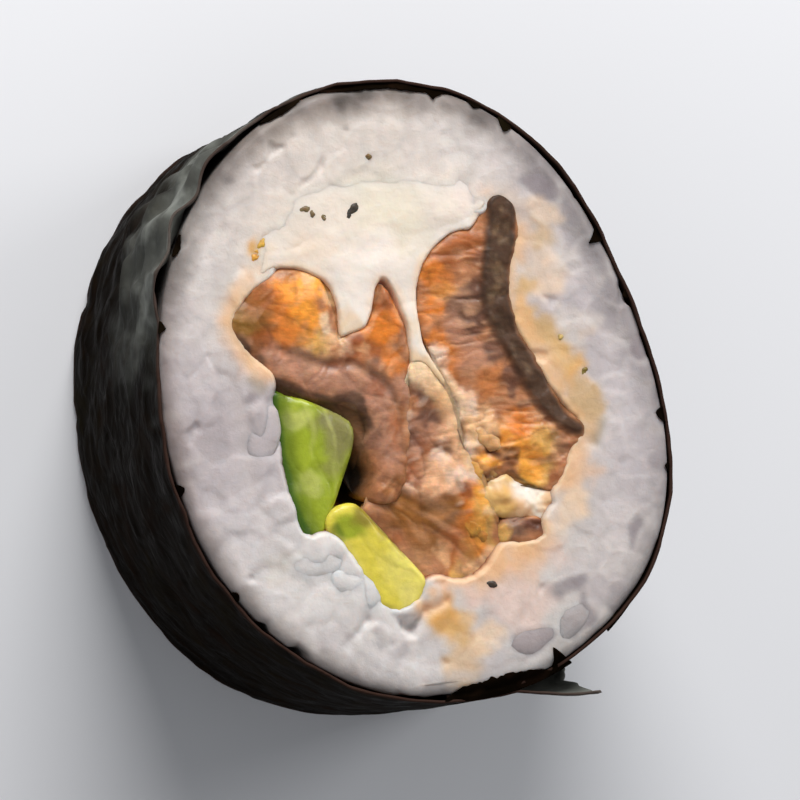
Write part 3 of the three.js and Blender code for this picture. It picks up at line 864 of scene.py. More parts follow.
def riceEnd(look, side, step, seed):  # one cut end with its shoulder: points, last ring, faces and colours
    count, shoulder = look["rimPoints"], look["shoulder"]
    face, outer = riceRim(shoulder, count), riceRim(0, count)
    out = np.c_[(outer - face) / shoulder, np.zeros(count)]
    plan, faces = triangulated(face, step, seed, lambda p: firmFilling(p) > -0.9)
    level = cutLevel(plan) if side > 0 else 0 * plan[:, 0]
    points = [np.c_[plan, level]]
    normals = [np.tile((0.0, 0.0, float(side)), (len(plan), 1))]
    rimGap = [shoulder - distanceTo(face, plan)]
    rings = [0]
    size = len(plan)
    for lean in np.linspace(0, math.pi / 2, 11)[1:]:
        tilt = out * math.sin(lean) + np.array([0, 0, side * math.cos(lean)])
        points.append(np.c_[face, level[:count]] + shoulder * (tilt - np.array([0, 0, side])))
        normals.append(tilt)
        rimGap.append(np.full(count, shoulder * (1 - math.sin(lean))))
        rings.append(size)
        size += count
    points, normals, rimGap = np.vstack(points), np.vstack(normals), np.concatenate(rimGap)
    faces = faces if side > 0 else [f[::-1] for f in faces]
    for lower, upper in zip(rings, rings[1:]):
        faces += ringWall(lower, upper, count) if side > 0 else ringWall(upper, lower, count)
    pairs = edgePairs(faces)
    swarm = grainSwarm(look, outer, side, seed)
    depth, owner, gap = sunkBetweenGrains(points, normals, swarm, look, seed)
    smeared, unbroken = (evenedOut(depth[:, None], pairs, rounds)[:, 0] for rounds in look["evened"])
    smeared = look["faint"] * smeared
    depth = smeared + (unbroken - smeared) * roundedShare(points)
    depth = np.maximum(depth, -look["dome"] * normals[:, 2] ** 2)  # the nori holds it in
    if side < 0:  # it is pressed flat by what it stands on
        depth = 0.6 * np.maximum(depth, 0)
    melted = cheeseShare(points)
    depth = depth * (1 - 0.8 * melted)
    tuck = look["tuck"] * fade(betweenFillings(points[:, :2], look["bridge"]), -0.7, 0.1)
    tuck += look["pocketDepth"] * hollow(points, *look["pocket"]) * smoothStep(tuck, 0.6, 1.2)
    colour = riceColour(points, side, owner, gap, rimGap)
    colour += melted[:, None] * (cheeseColour(points) - colour)
    colour = evenedOut(blotched(points, colour, look["patches"], 0.9, 1.6), pairs, 4)
    eel = nearestFilling(points, eelNodes)
    soaked = fade(eel, 0.2, 1.8) * smoothStep(softNoise(flat(points) + 5, 2.2), 0.2, 0.6)
    soaked = np.maximum(soaked, 0.9 * fade(eel, 0.1, 0.9))
    colour = tinted(colour, "peach", 0.75 * soaked * (1 - melted))
    # Where it drops between the fillings: sauce stains, and near-black painted shade in the hole.
    sunkStainAndShade = blotched(points, "rust", look["pocketPatches"], 0.4, 1.5)
    sunk = smoothStep(tuck, 0.25, 0.8)[:, None]
    return points - normals * (depth + tuck)[:, None], rings[-1], faces, colour + sunk * (sunkStainAndShade - colour)


def makeRice(look):
    top, topRing, topFaces, topPaint = riceEnd(look, 1, look["topStep"], 21)
    foot, footRing, footFaces, footPaint = riceEnd(look, -1, look["footStep"], 22)
    start = len(top)
    faces = topFaces + [tuple(start + i for i in face) for face in footFaces]
    faces += ringWall(topRing, start + footRing, look["rimPoints"])
    return newPiece("riceBed", np.vstack([top, foot]), faces, np.vstack([topPaint, footPaint]))


riceFinish = foodMaterial("cookedRice", {
    "mottleSize": 0.9, "mottle": (0.92, 1.05), "grainSize": 0.22, "roughness": (0.42, 0.62),
    "mottleDepth": 0.08, "grainDepth": 0.03, "glow": 0.6, "glowReach": (1.1, 0.8, 0.65), "wet": 0.08,
    "wetRoughness": 0.3, "ior": 1.36,
})
finished(makeRice(riceLook), riceFinish, "rice", "rice")

# Each filling keeps its CAD outline and gets a worked surface at both cut ends.
fillingLook = {
    "step": 0.12,
    "foot": 0.35,  # how far it stops above the table
    "ragged": 0.2,  # how uneven its outline is
    "raggedSize": 1.3,
    "spreads": [],  # where it runs out further: x, y, half the size of the spot, and how far
    "edgeWidth": 0.9,  # how far in it is rounded
    "walls": 7,
    "under": (),  # what presses into it
}


def makeFilling(name, node, look, relief, colour):
    loop = nodeOutline(node, look["step"])
    spread = look["spread"] + look["ragged"] * rough(loop, look["raggedSize"])
    for x, y, wide, high, further in look["spreads"]:
        spread = spread + further * hollow(loop, x, y, wide, high)
    loop = loop + outwards(loop) * spread[:, None]
    count, walls = len(loop), look["walls"]
    plan, tris = triangulated(loop, look["step"], look["seed"])
    edge = -distanceTo(loop, plan)
    fall = np.clip(1 - edge / look["edgeWidth"], 0, 1)
    rounding = fall**2 if look["under"] else 1 - np.sqrt(1 - fall**2)
    top = look["top"] + relief(plan) - look["edgeDrop"] * rounding
    if look["under"]:
        top -= 1.6 * fade(nearestFilling(plan, look["under"]), 0.0, 0.5)
    top = np.minimum(top, pieceHeight - 0.02)
    foot = look["foot"] + 0.15 * (look["top"] - top)
    sway = np.c_[softNoise(flat(plan) + 3, 1.5), softNoise(flat(plan) + 9, 1.5)] - 0.5
    swayed = plan + 0.3 * sway * smoothStep(edge, 0, 0.5)[:, None]
    size = len(plan)
    parts = [np.c_[swayed, top], np.c_[swayed, foot]]
    faces = tris + [tuple(size + i for i in t[::-1]) for t in tris]
    rings = [0]
    for step in range(1, walls):
        share = step / walls
        ring = plan[:count] + outwards(loop) * (0.1 * roughNoise(flat(loop, 4 * step), 3.0))[:, None]
        parts.append(np.c_[ring, top[:count] * (1 - share) + foot[:count] * share])
        rings.append(2 * size + (step - 1) * count)
    rings.append(size)
    for upper, lower in zip(rings, rings[1:]):
        faces += ringWall(upper, lower, count)
    paint = colour(plan)
    return newPiece(name, np.vstack(parts), faces, np.vstack([paint, paint] + [paint[:count]] * (walls - 1)))


def addFilling(name, node, look, relief, colour):
    return finished(makeFilling(name, node, look, relief, colour), look["finish"], look["slot"], node)


# Eel: flesh in flakes, with sauce and painted shade between them, fine fibres whose paler tops are partly
# painted highlight, and skin along one side of two lumps.
eelFinish = foodMaterial("glazedEel", {
    "mottleSize": 0.7, "mottle": (0.82, 1.14), "grainSize": 0.25, "roughness": (0.38, 0.6),
    "mottleDepth": 0.07, "grainDepth": 0.03, "glow": 0.45, "glowReach": (1.2, 0.5, 0.22), "wet": 0.12,
    "wetRoughness": 0.3, "ior": 1.38, "fibre": (0.32, 3.0, 0.87, 1.11),
})
eelLook = {**fillingLook, "finish": eelFinish, "slot": "eel"}


def fishRelief(points, look):
    flakeHigh, power, fibreHigh = look["relief"]
    return flakeHigh * flakes(points, *look["flakes"]) ** power + fibreHigh * flakes(points, *look["fibres"])


def fishColour(points, look, share=1):
    warp, size, sauce, paleTone, pale = look["colour"]
    colour = blotched(points, "flesh", look["patches"], warp, size)
    # Sauce and painted shade in the creases between flakes, and pale fibre tops partly as painted highlight.
    colour = tinted(colour, "sauce", sauce * fade(flakes(points, *look["flakes"]), 0.0, 0.35))
    return tinted(colour, paleTone, pale * (smoothStep(flakes(points, *look["fibres"]), 0.5, 0.8) * share))


cheeseSmear = smoothPath((-0.5, 1.9), (0.9, 0.8), (2.3, -0.7), (3.1, -2.2), (3.7, -3.9))


def smearShare(points):  # where soft cheese was wiped over the fish, and how far along
    gap, place = distanceAlong(cheeseSmear, points[:, :2])
    near = fade(gap + 0.4 * rough(points, 1.2, 61), 0.5, 1.35)
    return near * (1 - 0.75 * smoothStep(place, 2.5, 6.5)), place


def smeared(points, colour):
    share, place = smearShare(points)
    return tinted(tinted(colour, "peach", 0.85 * share), "cheeseWarm", 0.7 * share * fade(place, 0.5, 3.5))


eelLeftLook = {
    **eelLook,
    "seed": 31, "spread": 0.42, "top": 30.9, "edgeDrop": 0.45,
    "spreads": [(-2.4, 7.0, 1.4, 1.7, -0.42), (-6.4, 5.4, 1.0, 1.6, -0.4)],
    "flakes": (-0.4, 1.6, 3.8, 1),  # heading, pitch, length and seed
    "fibres": (0.9, 0.6, 1.4, 2),
    "relief": (0.26, 1.5, 0.1),  # how high the flakes stand, how sharply, and how high the fibres
    "colour": (0.6, 1.5, 0.35, "fleshPale", 0.25),  # how far patches stray, in what size, sauce with painted shade in the creases, and pale fibre tops partly as painted highlight
    "lobe": (-8.6, 5.6, 2.2, 2.0),
    "pit": (-4.6, -5.8, 1.15, 2.0),
    "skin": smoothPath((-12.6, 3.2), (-11.0, 1.0), (-9.0, -0.1), (-6.6, -0.7), (-4.3, -0.8), (-3.6, -2.4)),
    "fold": smoothPath((-10.9, 2.0), (-7.8, 0.5), (-4.6, 0.3), (-2.8, -1.3), (-2.2, -3.6), (-2.0, -5.8)),
    "crease": smoothPath((-9.4, 2.6), (-6.8, 1.7), (-4.4, 1.6), (-2.2, 0.2), (-1.2, -1.8), (-1.0, -4.4)),
    "patches": [
        (-9.4, 2.2, 1.6, "fleshPink", 0.6), (-7.0, 1.2, 1.8, "fleshPink", 0.8),
        (-4.6, 0.6, 1.6, "fleshPink", 0.7),
        (-11.6, 4.6, 1.8, "belly", 0.9), (-10.6, 3.0, 1.3, "glazeDeep", 0.8), (-12.2, 5.4, 0.9, "belly", 0.6),
        (-10.9, 6.4, 1.1, "glazeDeep", 0.8), (-8.6, 6.0, 1.9, "glaze", 1.0),
        (-8.2, 6.8, 1.7, "glazeBright", 1.0),
        (-7.5, 4.6, 1.3, "glazeBright", 0.8), (-7.0, 3.2, 0.9, "honey", 0.8), (-9.2, 3.8, 0.9, "glaze", 0.7),
        (-8.2, 2.9, 0.7, "fleshPale", 0.4), (-5.6, 2.6, 0.9, "rust", 0.8), (-4.4, 3.2, 1.2, "rust", 0.8),
        (-3.1, 2.9, 1.4, "glazeDeep", 0.95), (-2.6, 4.6, 1.3, "glaze", 0.9),
        (-2.3, 6.2, 0.9, "glazeDeep", 0.8),
        (-2.0, 3.9, 1.0, "glaze", 0.9), (-1.5, 2.0, 1.0, "glaze", 0.7), (-2.6, 1.4, 1.0, "fleshGrey", 0.7),
        (-1.2, -0.2, 1.2, "fleshPink", 0.7), (-2.7, -1.0, 1.2, "fleshPink", 0.7),
        (-2.3, -3.6, 1.6, "fleshPink", 0.7), (-2.9, -5.6, 1.4, "flesh", 0.7), (-1.8, -6.8, 1.2, "belly", 0.6),
        (-1.2, -3.0, 0.9, "glazeDeep", 0.6), (-12.3, 3.2, 0.8, "sauce", 0.6), (-7.9, 7.9, 0.8, "peach", 0.8),
        (-6.2, 6.6, 0.7, "peach", 0.7), (-12.2, 4.6, 1.2, "olive", 0.35), (-11.8, 6.2, 0.9, "belly", 0.6),
        (-11.2, 2.6, 0.9, "bellyDark", 0.6), (-6.0, 3.2, 1.0, "peach", 0.7),
        (-5.2, 3.0, 0.7, "cheeseWarm", 0.4),
        (-6.1, 4.4, 0.8, "cheeseWarm", 0.85), (-3.9, 3.0, 0.5, "peach", 0.4), (-3.2, 0.4, 0.9, "rust", 0.6),
        (-4.2, -1.2, 0.8, "fleshGrey", 0.6),
    ],
}


def eelLeftRelief(points):
    lobe = hollow(points, *eelLeftLook["lobe"])
    fold, crease = (bell(distanceAlong(eelLeftLook[path], points)[0], wide) for path, wide in (
        ("fold", 0.7), ("crease", 0.4)
    ))
    rolling = 0.3 * rough(points, 3.6, layers=2)
    sunk = 2.6 * hollow(points, *eelLeftLook["pit"]) + 0.2 * crease
    bits = fishRelief(points, eelLeftLook) * (1 - 0.85 * lobe)
    return -0.6 + 0.6 * lobe + 0.1 * fold + bits + rolling - sunk


def eelLeftColour(points):
    colour = fishColour(points, eelLeftLook)
    # The crease is tinted with sauce and painted shade.
    for path, tone, share, inner, outer in (
        ("fold", "fleshPink", 0.5, 0.1, 1.1), ("crease", "sauce", 0.5, 0.0, 0.55),
        ("skin", "skinDark", 0.9, 0.2, 0.6),
    ):
        gap = distanceAlong(eelLeftLook[path], points)[0] + 0.35 * rough(points, 1.0, 70)
        share = share * (0.75 + 0.4 * rough(points, 1.5, 33))
        colour = tinted(colour, tone, share * fade(gap, inner, outer))
    # The pit by the hole is painted near-black, as painted shade.
    return tinted(colour, "pocket", 2.0 * hollow(points, *eelLeftLook["pit"]) - 0.2)


addFilling("eelLeft", "eel_left", eelLeftLook, eelLeftRelief, eelLeftColour)

eelMiddleLook = {
    **eelLook,
    "seed": 32, "spread": 0.5, "ragged": 0.25, "top": 30.75, "edgeDrop": 0.22,
    "spreads": [(1.2, 1.4, 1.8, 1.6, -0.15), (3.0, -3.4, 1.6, 2.2, 0.35)],
    "flakes": (1.9, 1.4, 3.0, 3),
    "fibres": (0.4, 0.6, 1.3, 4),
    "strands": (-0.55, 0.9, 5.0, 6),  # in the smooth belly at its foot
    "relief": (0.32, 1.4, 0.13),
    "colour": (0.6, 1.4, 0.35, "fleshWhite", 0.3),
    "patches": [
        (0.6, 0.8, 1.5, "fleshGrey", 0.7), (1.6, -1.4, 1.6, "flesh", 0.8), (0.6, -2.6, 1.3, "fleshPink", 0.6),
        (2.4, -3.4, 1.3, "fleshPale", 0.8), (0.4, -4.4, 1.1, "rust", 0.5), (1.2, -6.0, 1.4, "fleshPale", 0.8),
        (2.6, -5.6, 1.5, "fleshPale", 1.0), (3.4, -6.2, 1.0, "fleshWhite", 0.8),
        (3.8, -7.4, 1.3, "glaze", 0.7),
        (-1.6, -7.6, 1.4, "belly", 0.8), (-0.4, -8.6, 1.7, "belly", 0.9), (1.8, -8.9, 1.7, "belly", 0.9),
        (1.8, -10.3, 1.2, "bellyDark", 0.4), (0.6, -10.6, 1.2, "belly", 0.8), (3.6, -9.0, 1.2, "glaze", 0.8),
        (4.9, -8.4, 1.4, "honey", 0.9), (3.4, -10.8, 1.4, "glazeDeep", 0.7), (4.8, -10.4, 1.4, "honey", 0.8),
        (2.8, -12.0, 1.2, "glazeDeep", 0.6), (4.4, -12.2, 1.3, "peach", 0.8), (4.4, -1.6, 1.4, "glaze", 0.6),
        (3.9, -4.4, 1.0, "peach", 0.7), (5.2, -6.0, 0.9, "honey", 0.7), (-0.9, -11.2, 0.8, "glazeDeep", 0.6),
        (0.2, 0.2, 1.1, "fleshDark", 0.9), (1.0, -1.6, 0.9, "fleshDark", 0.8),
        (-0.2, -3.4, 0.9, "fleshDark", 0.7),
        (1.7, -4.0, 0.6, "sauce", 0.6), (0.3, -5.6, 0.8, "rust", 0.7), (3.2, -7.2, 0.6, "rust", 0.7),
        (-2.6, -6.6, 0.9, "bellyDark", 0.7), (1.0, -7.6, 0.9, "bellyDark", 0.6),
        (4.4, -10.2, 0.9, "glaze", 0.7),
        (5.2, -11.4, 0.9, "fleshPale", 0.8), (3.2, -12.4, 0.8, "honey", 0.8), (2.0, -11.4, 0.7, "peach", 0.6),
        (4.6, -7.4, 0.7, "glazeBright", 0.7), (2.8, -6.6, 0.5, "sauce", 0.5),
        (1.6, -4.6, 0.6, "fleshWhite", 0.6),
        (2.9, -2.2, 0.8, "peach", 0.8), (2.1, -0.4, 0.6, "peach", 0.7), (4.3, -9.2, 1.0, "glazeBright", 0.6),
    ],
}


def eelMiddleBelly(points):
    return smoothStep(-points[:, 1] - 0.3 * points[:, 0] + 0.7 * rough(points, 3.0, 50), 6.6, 8.0)


def eelMiddleRelief(points):
    belly, share = eelMiddleBelly(points), smearShare(points)[0]
    smooth = 0.2 * flakes(points, *eelMiddleLook["strands"]) ** 1.4 + 0.2 * rough(points, 2.0)
    bits = fishRelief(points, eelMiddleLook) * (1 - belly) + (smooth - 0.2) * belly
    bits += 0.2 * rough(points, 3.4, 6)
    return -0.6 + bits + share * (0.26 - 0.6 * bits)


def eelMiddleColour(points):
    belly = eelMiddleBelly(points)
    strands = flakes(points, *eelMiddleLook["strands"])
    colour = fishColour(points, eelMiddleLook, 1 - belly)
    # The belly's strands are darker in their creases and paler on their tops, partly painted shade and
    # painted highlight.
    colour = tinted(colour, "bellyDark", 0.4 * fade(strands, 0.1, 0.5) * belly)
    return smeared(points, tinted(colour, "fleshPale", 0.35 * smoothStep(strands, 0.5, 0.8) * belly))


addFilling("eelMiddle", "eel_middle", eelMiddleLook, eelMiddleRelief, eelMiddleColour)

eelRightLook = {
    **eelLook,
    "seed": 33, "spread": 0.4, "ragged": 0.25, "top": 30.9, "edgeDrop": 0.22,
    "spreads": [(0.8, 3.4, 1.8, 3.0, -0.25), (3.4, -3.4, 1.6, 2.2, 0.35)],
    "flakes": (0.15, 1.0, 3.6, 7),
    "fibres": (0.1, 0.5, 1.6, 8),
    "relief": (0.22, 1.4, 0.1),
    "colour": (0.55, 1.4, 0.4, "fleshPale", 0.35),
    "skin": smoothPath(
        (6.0, 12.8), (5.9, 10.2), (5.6, 7.6), (6.0, 5.1), (7.2, 2.9), (8.5, 0.8), (9.8, -1.1), (11.3, -2.3)
    ),
    "patches": [
        (1.3, 8.0, 1.2, "glaze", 0.8), (1.0, 5.6, 1.1, "glaze", 0.85), (2.0, 9.8, 1.3, "glazeDeep", 0.7),
        (3.6, 10.6, 1.1, "glazeDeep", 0.7), (1.6, 3.0, 1.2, "glaze", 0.7), (2.8, 1.2, 1.2, "glaze", 0.6),
        (3.0, 7.6, 1.3, "flesh", 0.7), (3.6, 6.0, 1.4, "fleshGrey", 0.8), (3.2, 4.2, 1.3, "fleshPink", 0.7),
        (4.4, 2.2, 1.4, "fleshPink", 0.6), (4.0, 0.4, 1.2, "flesh", 0.7), (5.6, 0.4, 1.4, "glaze", 0.3),
        (6.6, -1.4, 1.4, "flesh", 0.8), (4.6, -2.2, 1.4, "peach", 0.8), (7.8, -2.0, 1.2, "glaze", 0.7),
        (5.9, -3.7, 0.75, "sauce", 0.95), (5.0, -4.8, 1.0, "glazeBright", 1.0),
        (7.4, -4.0, 1.2, "glazeBright", 0.8),
        (9.0, -3.6, 1.2, "honey", 0.8), (10.4, -4.2, 0.8, "rust", 0.5), (9.9, -6.0, 0.6, "rust", 0.5),
        (8.6, -5.4, 1.4, "honey", 0.95), (8.2, -5.0, 1.3, "glazeBright", 0.35),
        (2.0, 6.8, 0.8, "glazeBright", 0.4), (3.4, -0.8, 1.0, "fleshPale", 0.7),
        (4.4, 7.4, 0.9, "fleshDark", 0.8), (4.6, 5.2, 1.0, "fleshDark", 0.8),
        (5.6, 3.0, 1.0, "fleshDark", 0.8), (6.8, 0.8, 0.9, "fleshDark", 0.8),
        (8.0, -1.0, 0.8, "fleshDark", 0.7), (4.4, 9.6, 0.8, "fleshDark", 0.6),
        (9.9, -3.4, 0.7, "sauce", 0.6), (3.9, -3.6, 0.8, "fleshWhite", 0.7),
        (1.2, 2.3, 0.9, "fleshWhite", 0.9), (1.9, 1.1, 1.0, "fleshWhite", 0.9),
        (2.6, 0.0, 1.1, "fleshWhite", 0.9), (3.3, -1.2, 1.0, "fleshWhite", 0.8),
        (4.0, -2.4, 1.0, "peach", 0.9), (6.4, -3.0, 0.8, "glazeBright", 0.8),
        (8.2, -5.2, 0.9, "glazeBright", 0.8),
        (6.6, -4.6, 0.5, "sauce", 0.7), (9.6, -4.4, 0.4, "rust", 0.6),
    ],
}


def eelRightSkin(points):  # how much it is skin, how far from the skin's middle, and how far along
    gap, place = distanceAlong(eelRightLook["skin"], points)
    half = 1.15 - 0.028 * place + 0.25 * rough(points, 1.4)
    return fade(gap, half - 0.35, half + 0.25), gap, place


def eelRightRelief(points):
    skin, _, place = eelRightSkin(points)
    bits = fishRelief(points, eelRightLook) + 0.5 * rough(points, 1.7, 90) * fade(points[:, 1], -2.6, -0.6)
    welt = 0.06 * np.sin(fullTurn * place / 2.3) + 0.2 * rough(points, 1.0, 12)
    bits += smearShare(points)[0] * (0.28 - 0.6 * bits)
    return -0.65 + bits * (1 - skin) + (0.42 + welt) * skin + 0.3 * rough(points, 3.8, 6, 2)


def eelRightColour(points):
    skin, gap, place = eelRightSkin(points)
    colour = tinted(smeared(points, fishColour(points, eelRightLook)), "skin", 0.97 * skin)
    colour = tinted(colour, "skinDark", 0.7 * skin * smoothStep(gap, 0.5, 0.95))
    # Pale bumps along the skin, partly painted highlight.
    lines = roughNoise(np.c_[gap, 0.25 * place, 0 * gap + 12], 0.5)
    dots = smoothStep(rough(points, 0.9, 12) + 0.6 * lines, 0.0, 0.6)
    return tinted(colour, "skinPaleHighlight", 0.6 * dots * skin * fade(gap, 0.3, 0.9))


eelRight = addFilling("eelRight", "eel_right", eelRightLook, eelRightRelief, eelRightColour)
eelRightPlan = np.array([v.co.to_2d() / mm for v in eelRight.data.vertices])
addValues(eelRight.data, "dry", eelRightSkin(eelRightPlan)[0])

eelCrumbLook = {
    **eelLook,
    "seed": 34, "spread": 0.3, "top": 30.6, "edgeDrop": 0.5, "edgeWidth": 0.7, "flakes": (0.3, 0.9, 1.6, 9),
    "patches": [
        (7.4, -9.5, 1.1, "fleshGrey", 0.9), (8.8, -9.4, 0.7, "sauce", 0.9), (6.5, -10.0, 0.7, "honey", 0.8),
    ],
}
addFilling(
    "eelCrumb", "eel_crumb", eelCrumbLook,
    lambda p: -0.35 + 0.35 * flakes(p, *eelCrumbLook["flakes"]),
    lambda p: blotched(p, "flesh", eelCrumbLook["patches"], 0.4, 1.2),
)

cheeseFinish = foodMaterial("softCheese", {
    "mottleSize": 2.0, "mottle": (0.96, 1.03), "grainSize": 0.35, "roughness": (0.3, 0.5),
    "mottleDepth": 0.2, "grainDepth": 0.02, "glow": 0.45, "glowReach": (1.3, 0.95, 0.7), "wet": 0.15,
    "wetRoughness": 0.25, "ior": 1.4,
})
cheeseLook = {
    **fillingLook, **cheeseLook,
    "finish": cheeseFinish, "slot": "cream_cheese", "step": 0.15, "seed": 41, "spread": 0.5, "ragged": 0.5,
    "raggedSize": 2.6, "top": 30.6, "edgeDrop": 0.17, "edgeWidth": 2.2, "under": eelNodes,
}


def cheeseRelief(points):
    smear = cheeseLook["smear"] * flakes(points, 0.35, 2.6, 9.0, 10)
    lumps = 0.1 * rough(points, 1.6, 4)
    sunk = 0.25 * fade(points[:, 1], 0.8, 5.0) + 1.2 * fade(points[:, 1], -2.4, 1.2)
    return cutLevel(points) - cheeseLook["top"] + 0.05 + cheeseShare(points) * (smear + lumps - 0.02) - sunk


def cheesePaint(points):
    plain = ricePlain(points)
    colour = plain + cheeseShare(points)[:, None] * (cheeseColour(points) - plain)
    soaked = fade(nearestFilling(points, eelNodes) + 0.4 * rough(points, 1.6), 0.1, 1.1)
    return smeared(points, tinted(colour, "peach", 0.5 * soaked))


addFilling("softCheese", "cream_cheese", cheeseLook, cheeseRelief, cheesePaint)

cheeseCrumbLook = {
    **fillingLook,
    "finish": cheeseFinish, "slot": "cream_cheese", "seed": 42, "spread": 0.35, "ragged": 0.6,
    "raggedSize": 1.2, "top": 30.45, "edgeDrop": 0.5, "edgeWidth": 1.6,
    "patches": [
        (7.6, -7.2, 4.0, "cheeseWarm", 0.45), (5.4, -7.4, 1.3, "honey", 0.9), (10.0, -7.4, 1.2, "peach", 0.9),
        (7.6, -8.7, 1.1, "peach", 0.9), (9.6, -5.7, 1.1, "peach", 0.8), (6.2, -8.6, 1.0, "honey", 0.9),
        (6.6, -5.8, 0.9, "honey", 0.8), (7.4, -6.8, 0.9, "cheese", 0.7),
    ],
}
addFilling(
    "cheeseCrumb", "cheese_crumb", cheeseCrumbLook,
    lambda p: 0.3 * rough(p, 1.3, 8),
    lambda p: blotched(p, "cheese", cheeseCrumbLook["patches"], 0.5, 1.4),
)

cucumberLook = {
    **fillingLook,
    "finish": foodMaterial("freshCucumber", {
        "mottleSize": 0.9, "mottle": (0.84, 1.1), "grainSize": 0.25, "roughness": (0.28, 0.45),
        "mottleDepth": 0.08, "grainDepth": 0.03, "glow": 0.5, "glowReach": (0.8, 1.0, 0.25), "wet": 0.2,
        "wetRoughness": 0.2, "ior": 1.36,
    }),
    "slot": "cucumber", "step": 0.13, "spread": 0.3, "ragged": 0.08, "edgeDrop": 0.4, "edgeWidth": 0.6,
}
cucumberLeftLook = {
    **cucumberLook,
    "seed": 51, "top": 30.55,
    "skin": smoothPath((-10.3, -0.2), (-10.0, -3.0), (-9.6, -5.8), (-8.6, -8.8), (-7.7, -10.4)),
    "patches": [
        (-7.8, -4.6, 1.3, "lime", 0.9), (-7.6, -6.6, 1.1, "limePale", 0.55),
        # limeShaded is painted shade on the facet that slopes down towards the hole
        (-8.6, -2.2, 0.9, "limePale", 0.7), (-6.3, -2.2, 1.5, "limeShaded", 0.9),
        (-5.4, -3.4, 1.3, "limeShaded", 0.9), (-5.9, -4.9, 1.0, "limeShaded", 0.6),
    ],
}


def cucumberLeftRelief(points):
    ridge = np.exp(-((points[:, 0] + 7.6 - 0.1 * (points[:, 1] + 4)) ** 2) / 1.6)
    return -0.6 + 0.45 * ridge + 0.12 * flakes(points, 1.7, 1.0, 5.0, 12)


def cucumberLeftColour(points):
    colour = blotched(points, "lime", cucumberLeftLook["patches"], 0.35, 1.6)
    colour = tinted(colour, "limePale", 0.35 * smoothStep(flakes(points, 1.75, 0.6, 5.0, 13), 0.6, 0.95))
    gap, _ = distanceAlong(cucumberLeftLook["skin"], points)
    return tinted(tinted(colour, "leaf", 0.55 * fade(gap, 0.7, 1.7)), "leaf", 0.9 * fade(gap, 0.3, 0.8))


addFilling("cucumberLeft", "cucumber_left", cucumberLeftLook, cucumberLeftRelief, cucumberLeftColour)

cucumberRightLook = {
    **cucumberLook,
    "seed": 52, "top": 30.7,
    "patches": [
        (-0.8, -12.6, 1.9, "yellowPale", 0.5), (-4.8, -9.4, 1.2, "lime", 0.9),
        (-3.6, -8.7, 0.9, "olive", 0.8),
        (-2.2, -9.6, 0.8, "olive", 0.7), (-1.0, -10.9, 0.7, "olive", 0.5), (-5.6, -10.0, 0.7, "leaf", 0.6),
        (-0.6, -14.4, 1.1, "yellowPale", 0.6),
    ],
}


def cucumberRightRelief(points):
    return -0.35 + 0.1 * flakes(points, -0.85, 1.4, 7.0, 15) + 0.1 * rough(points, 3.0)


def cucumberRightColour(points):
    colour = blotched(points, "yellow", cucumberRightLook["patches"], 0.35, 1.6)
    return tinted(colour, "yellowPale", 0.4 * smoothStep(flakes(points, -0.85, 0.7, 5.0, 14), 0.55, 0.95))


addFilling("cucumberRight", "cucumber_right", cucumberRightLook, cucumberRightRelief, cucumberRightColour)

# What follows lies on the cut, so it asks how high the pieces there are.
cutPieces = [bpy.data.objects[name] for name in (
    "riceBed", "eelLeft", "eelMiddle", "eelRight", "eelCrumb", "softCheese", "cheeseCrumb", "cucumberLeft",
    "cucumberRight",
)]
cutTrees = [
    BVHTree.FromPolygons([v.co / mm for v in piece.data.vertices], [p.vertices for p in piece.data.polygons])
    for piece in cutPieces
]


def cutAt(x, y, count=len(cutPieces)):  # how high the cut is there among the first pieces, and its colour
    height, colour = 0.9 * pieceHeight, np.zeros(3)
    for piece, tree in list(zip(cutPieces, cutTrees))[:count]:
        hit, _, face, _ = tree.ray_cast(Vector((x, y, 2 * pieceHeight)), Vector((0, 0, -1)))
        if hit is not None and hit.z > height:
            corner = piece.data.polygons[face].vertices[0]
            height, colour = hit.z, np.array(piece.data.color_attributes["paint"].data[corner].color[:3])
    return height, colour


noriTabLook = {
    "step": 0.09, "thickness": 0.16, "lift": 0.05, "crumple": 0.12, "rimGap": 0.25, "overlap": 0.12,
    "ragged": 0.5,
    "tabs": [  # bits of the nori's rim: heading, width, reach inwards, and how square the end is
        (1.66, 8.6, 0.5, 0.9), (2.02, 3.0, 0.35, 0.4), (1.503, 1.6, 0.85, 0.2), (1.36, 1.0, 0.3, 0.2),
        (1.24, 1.1, 0.75, 0.4), (0.714, 1.2, 1.15, 0.0), (0.45, 0.8, 0.3, 0.3), (-0.051, 1.2, 0.7, 0.4),
        (-0.245, 0.7, 0.35, 0.3), (-0.8, 2.2, 0.4, 0.6), (-1.27, 7.6, 1.15, 0.9), (-1.05, 1.4, 1.3, 0.3),
        (2.6, 1.6, 0.4, 0.2), (2.9, 0.9, 0.3, 0.2), (-2.75, 1.0, 0.4, 0.0), (-2.3, 0.8, 0.25, 0.3),
    ],
}


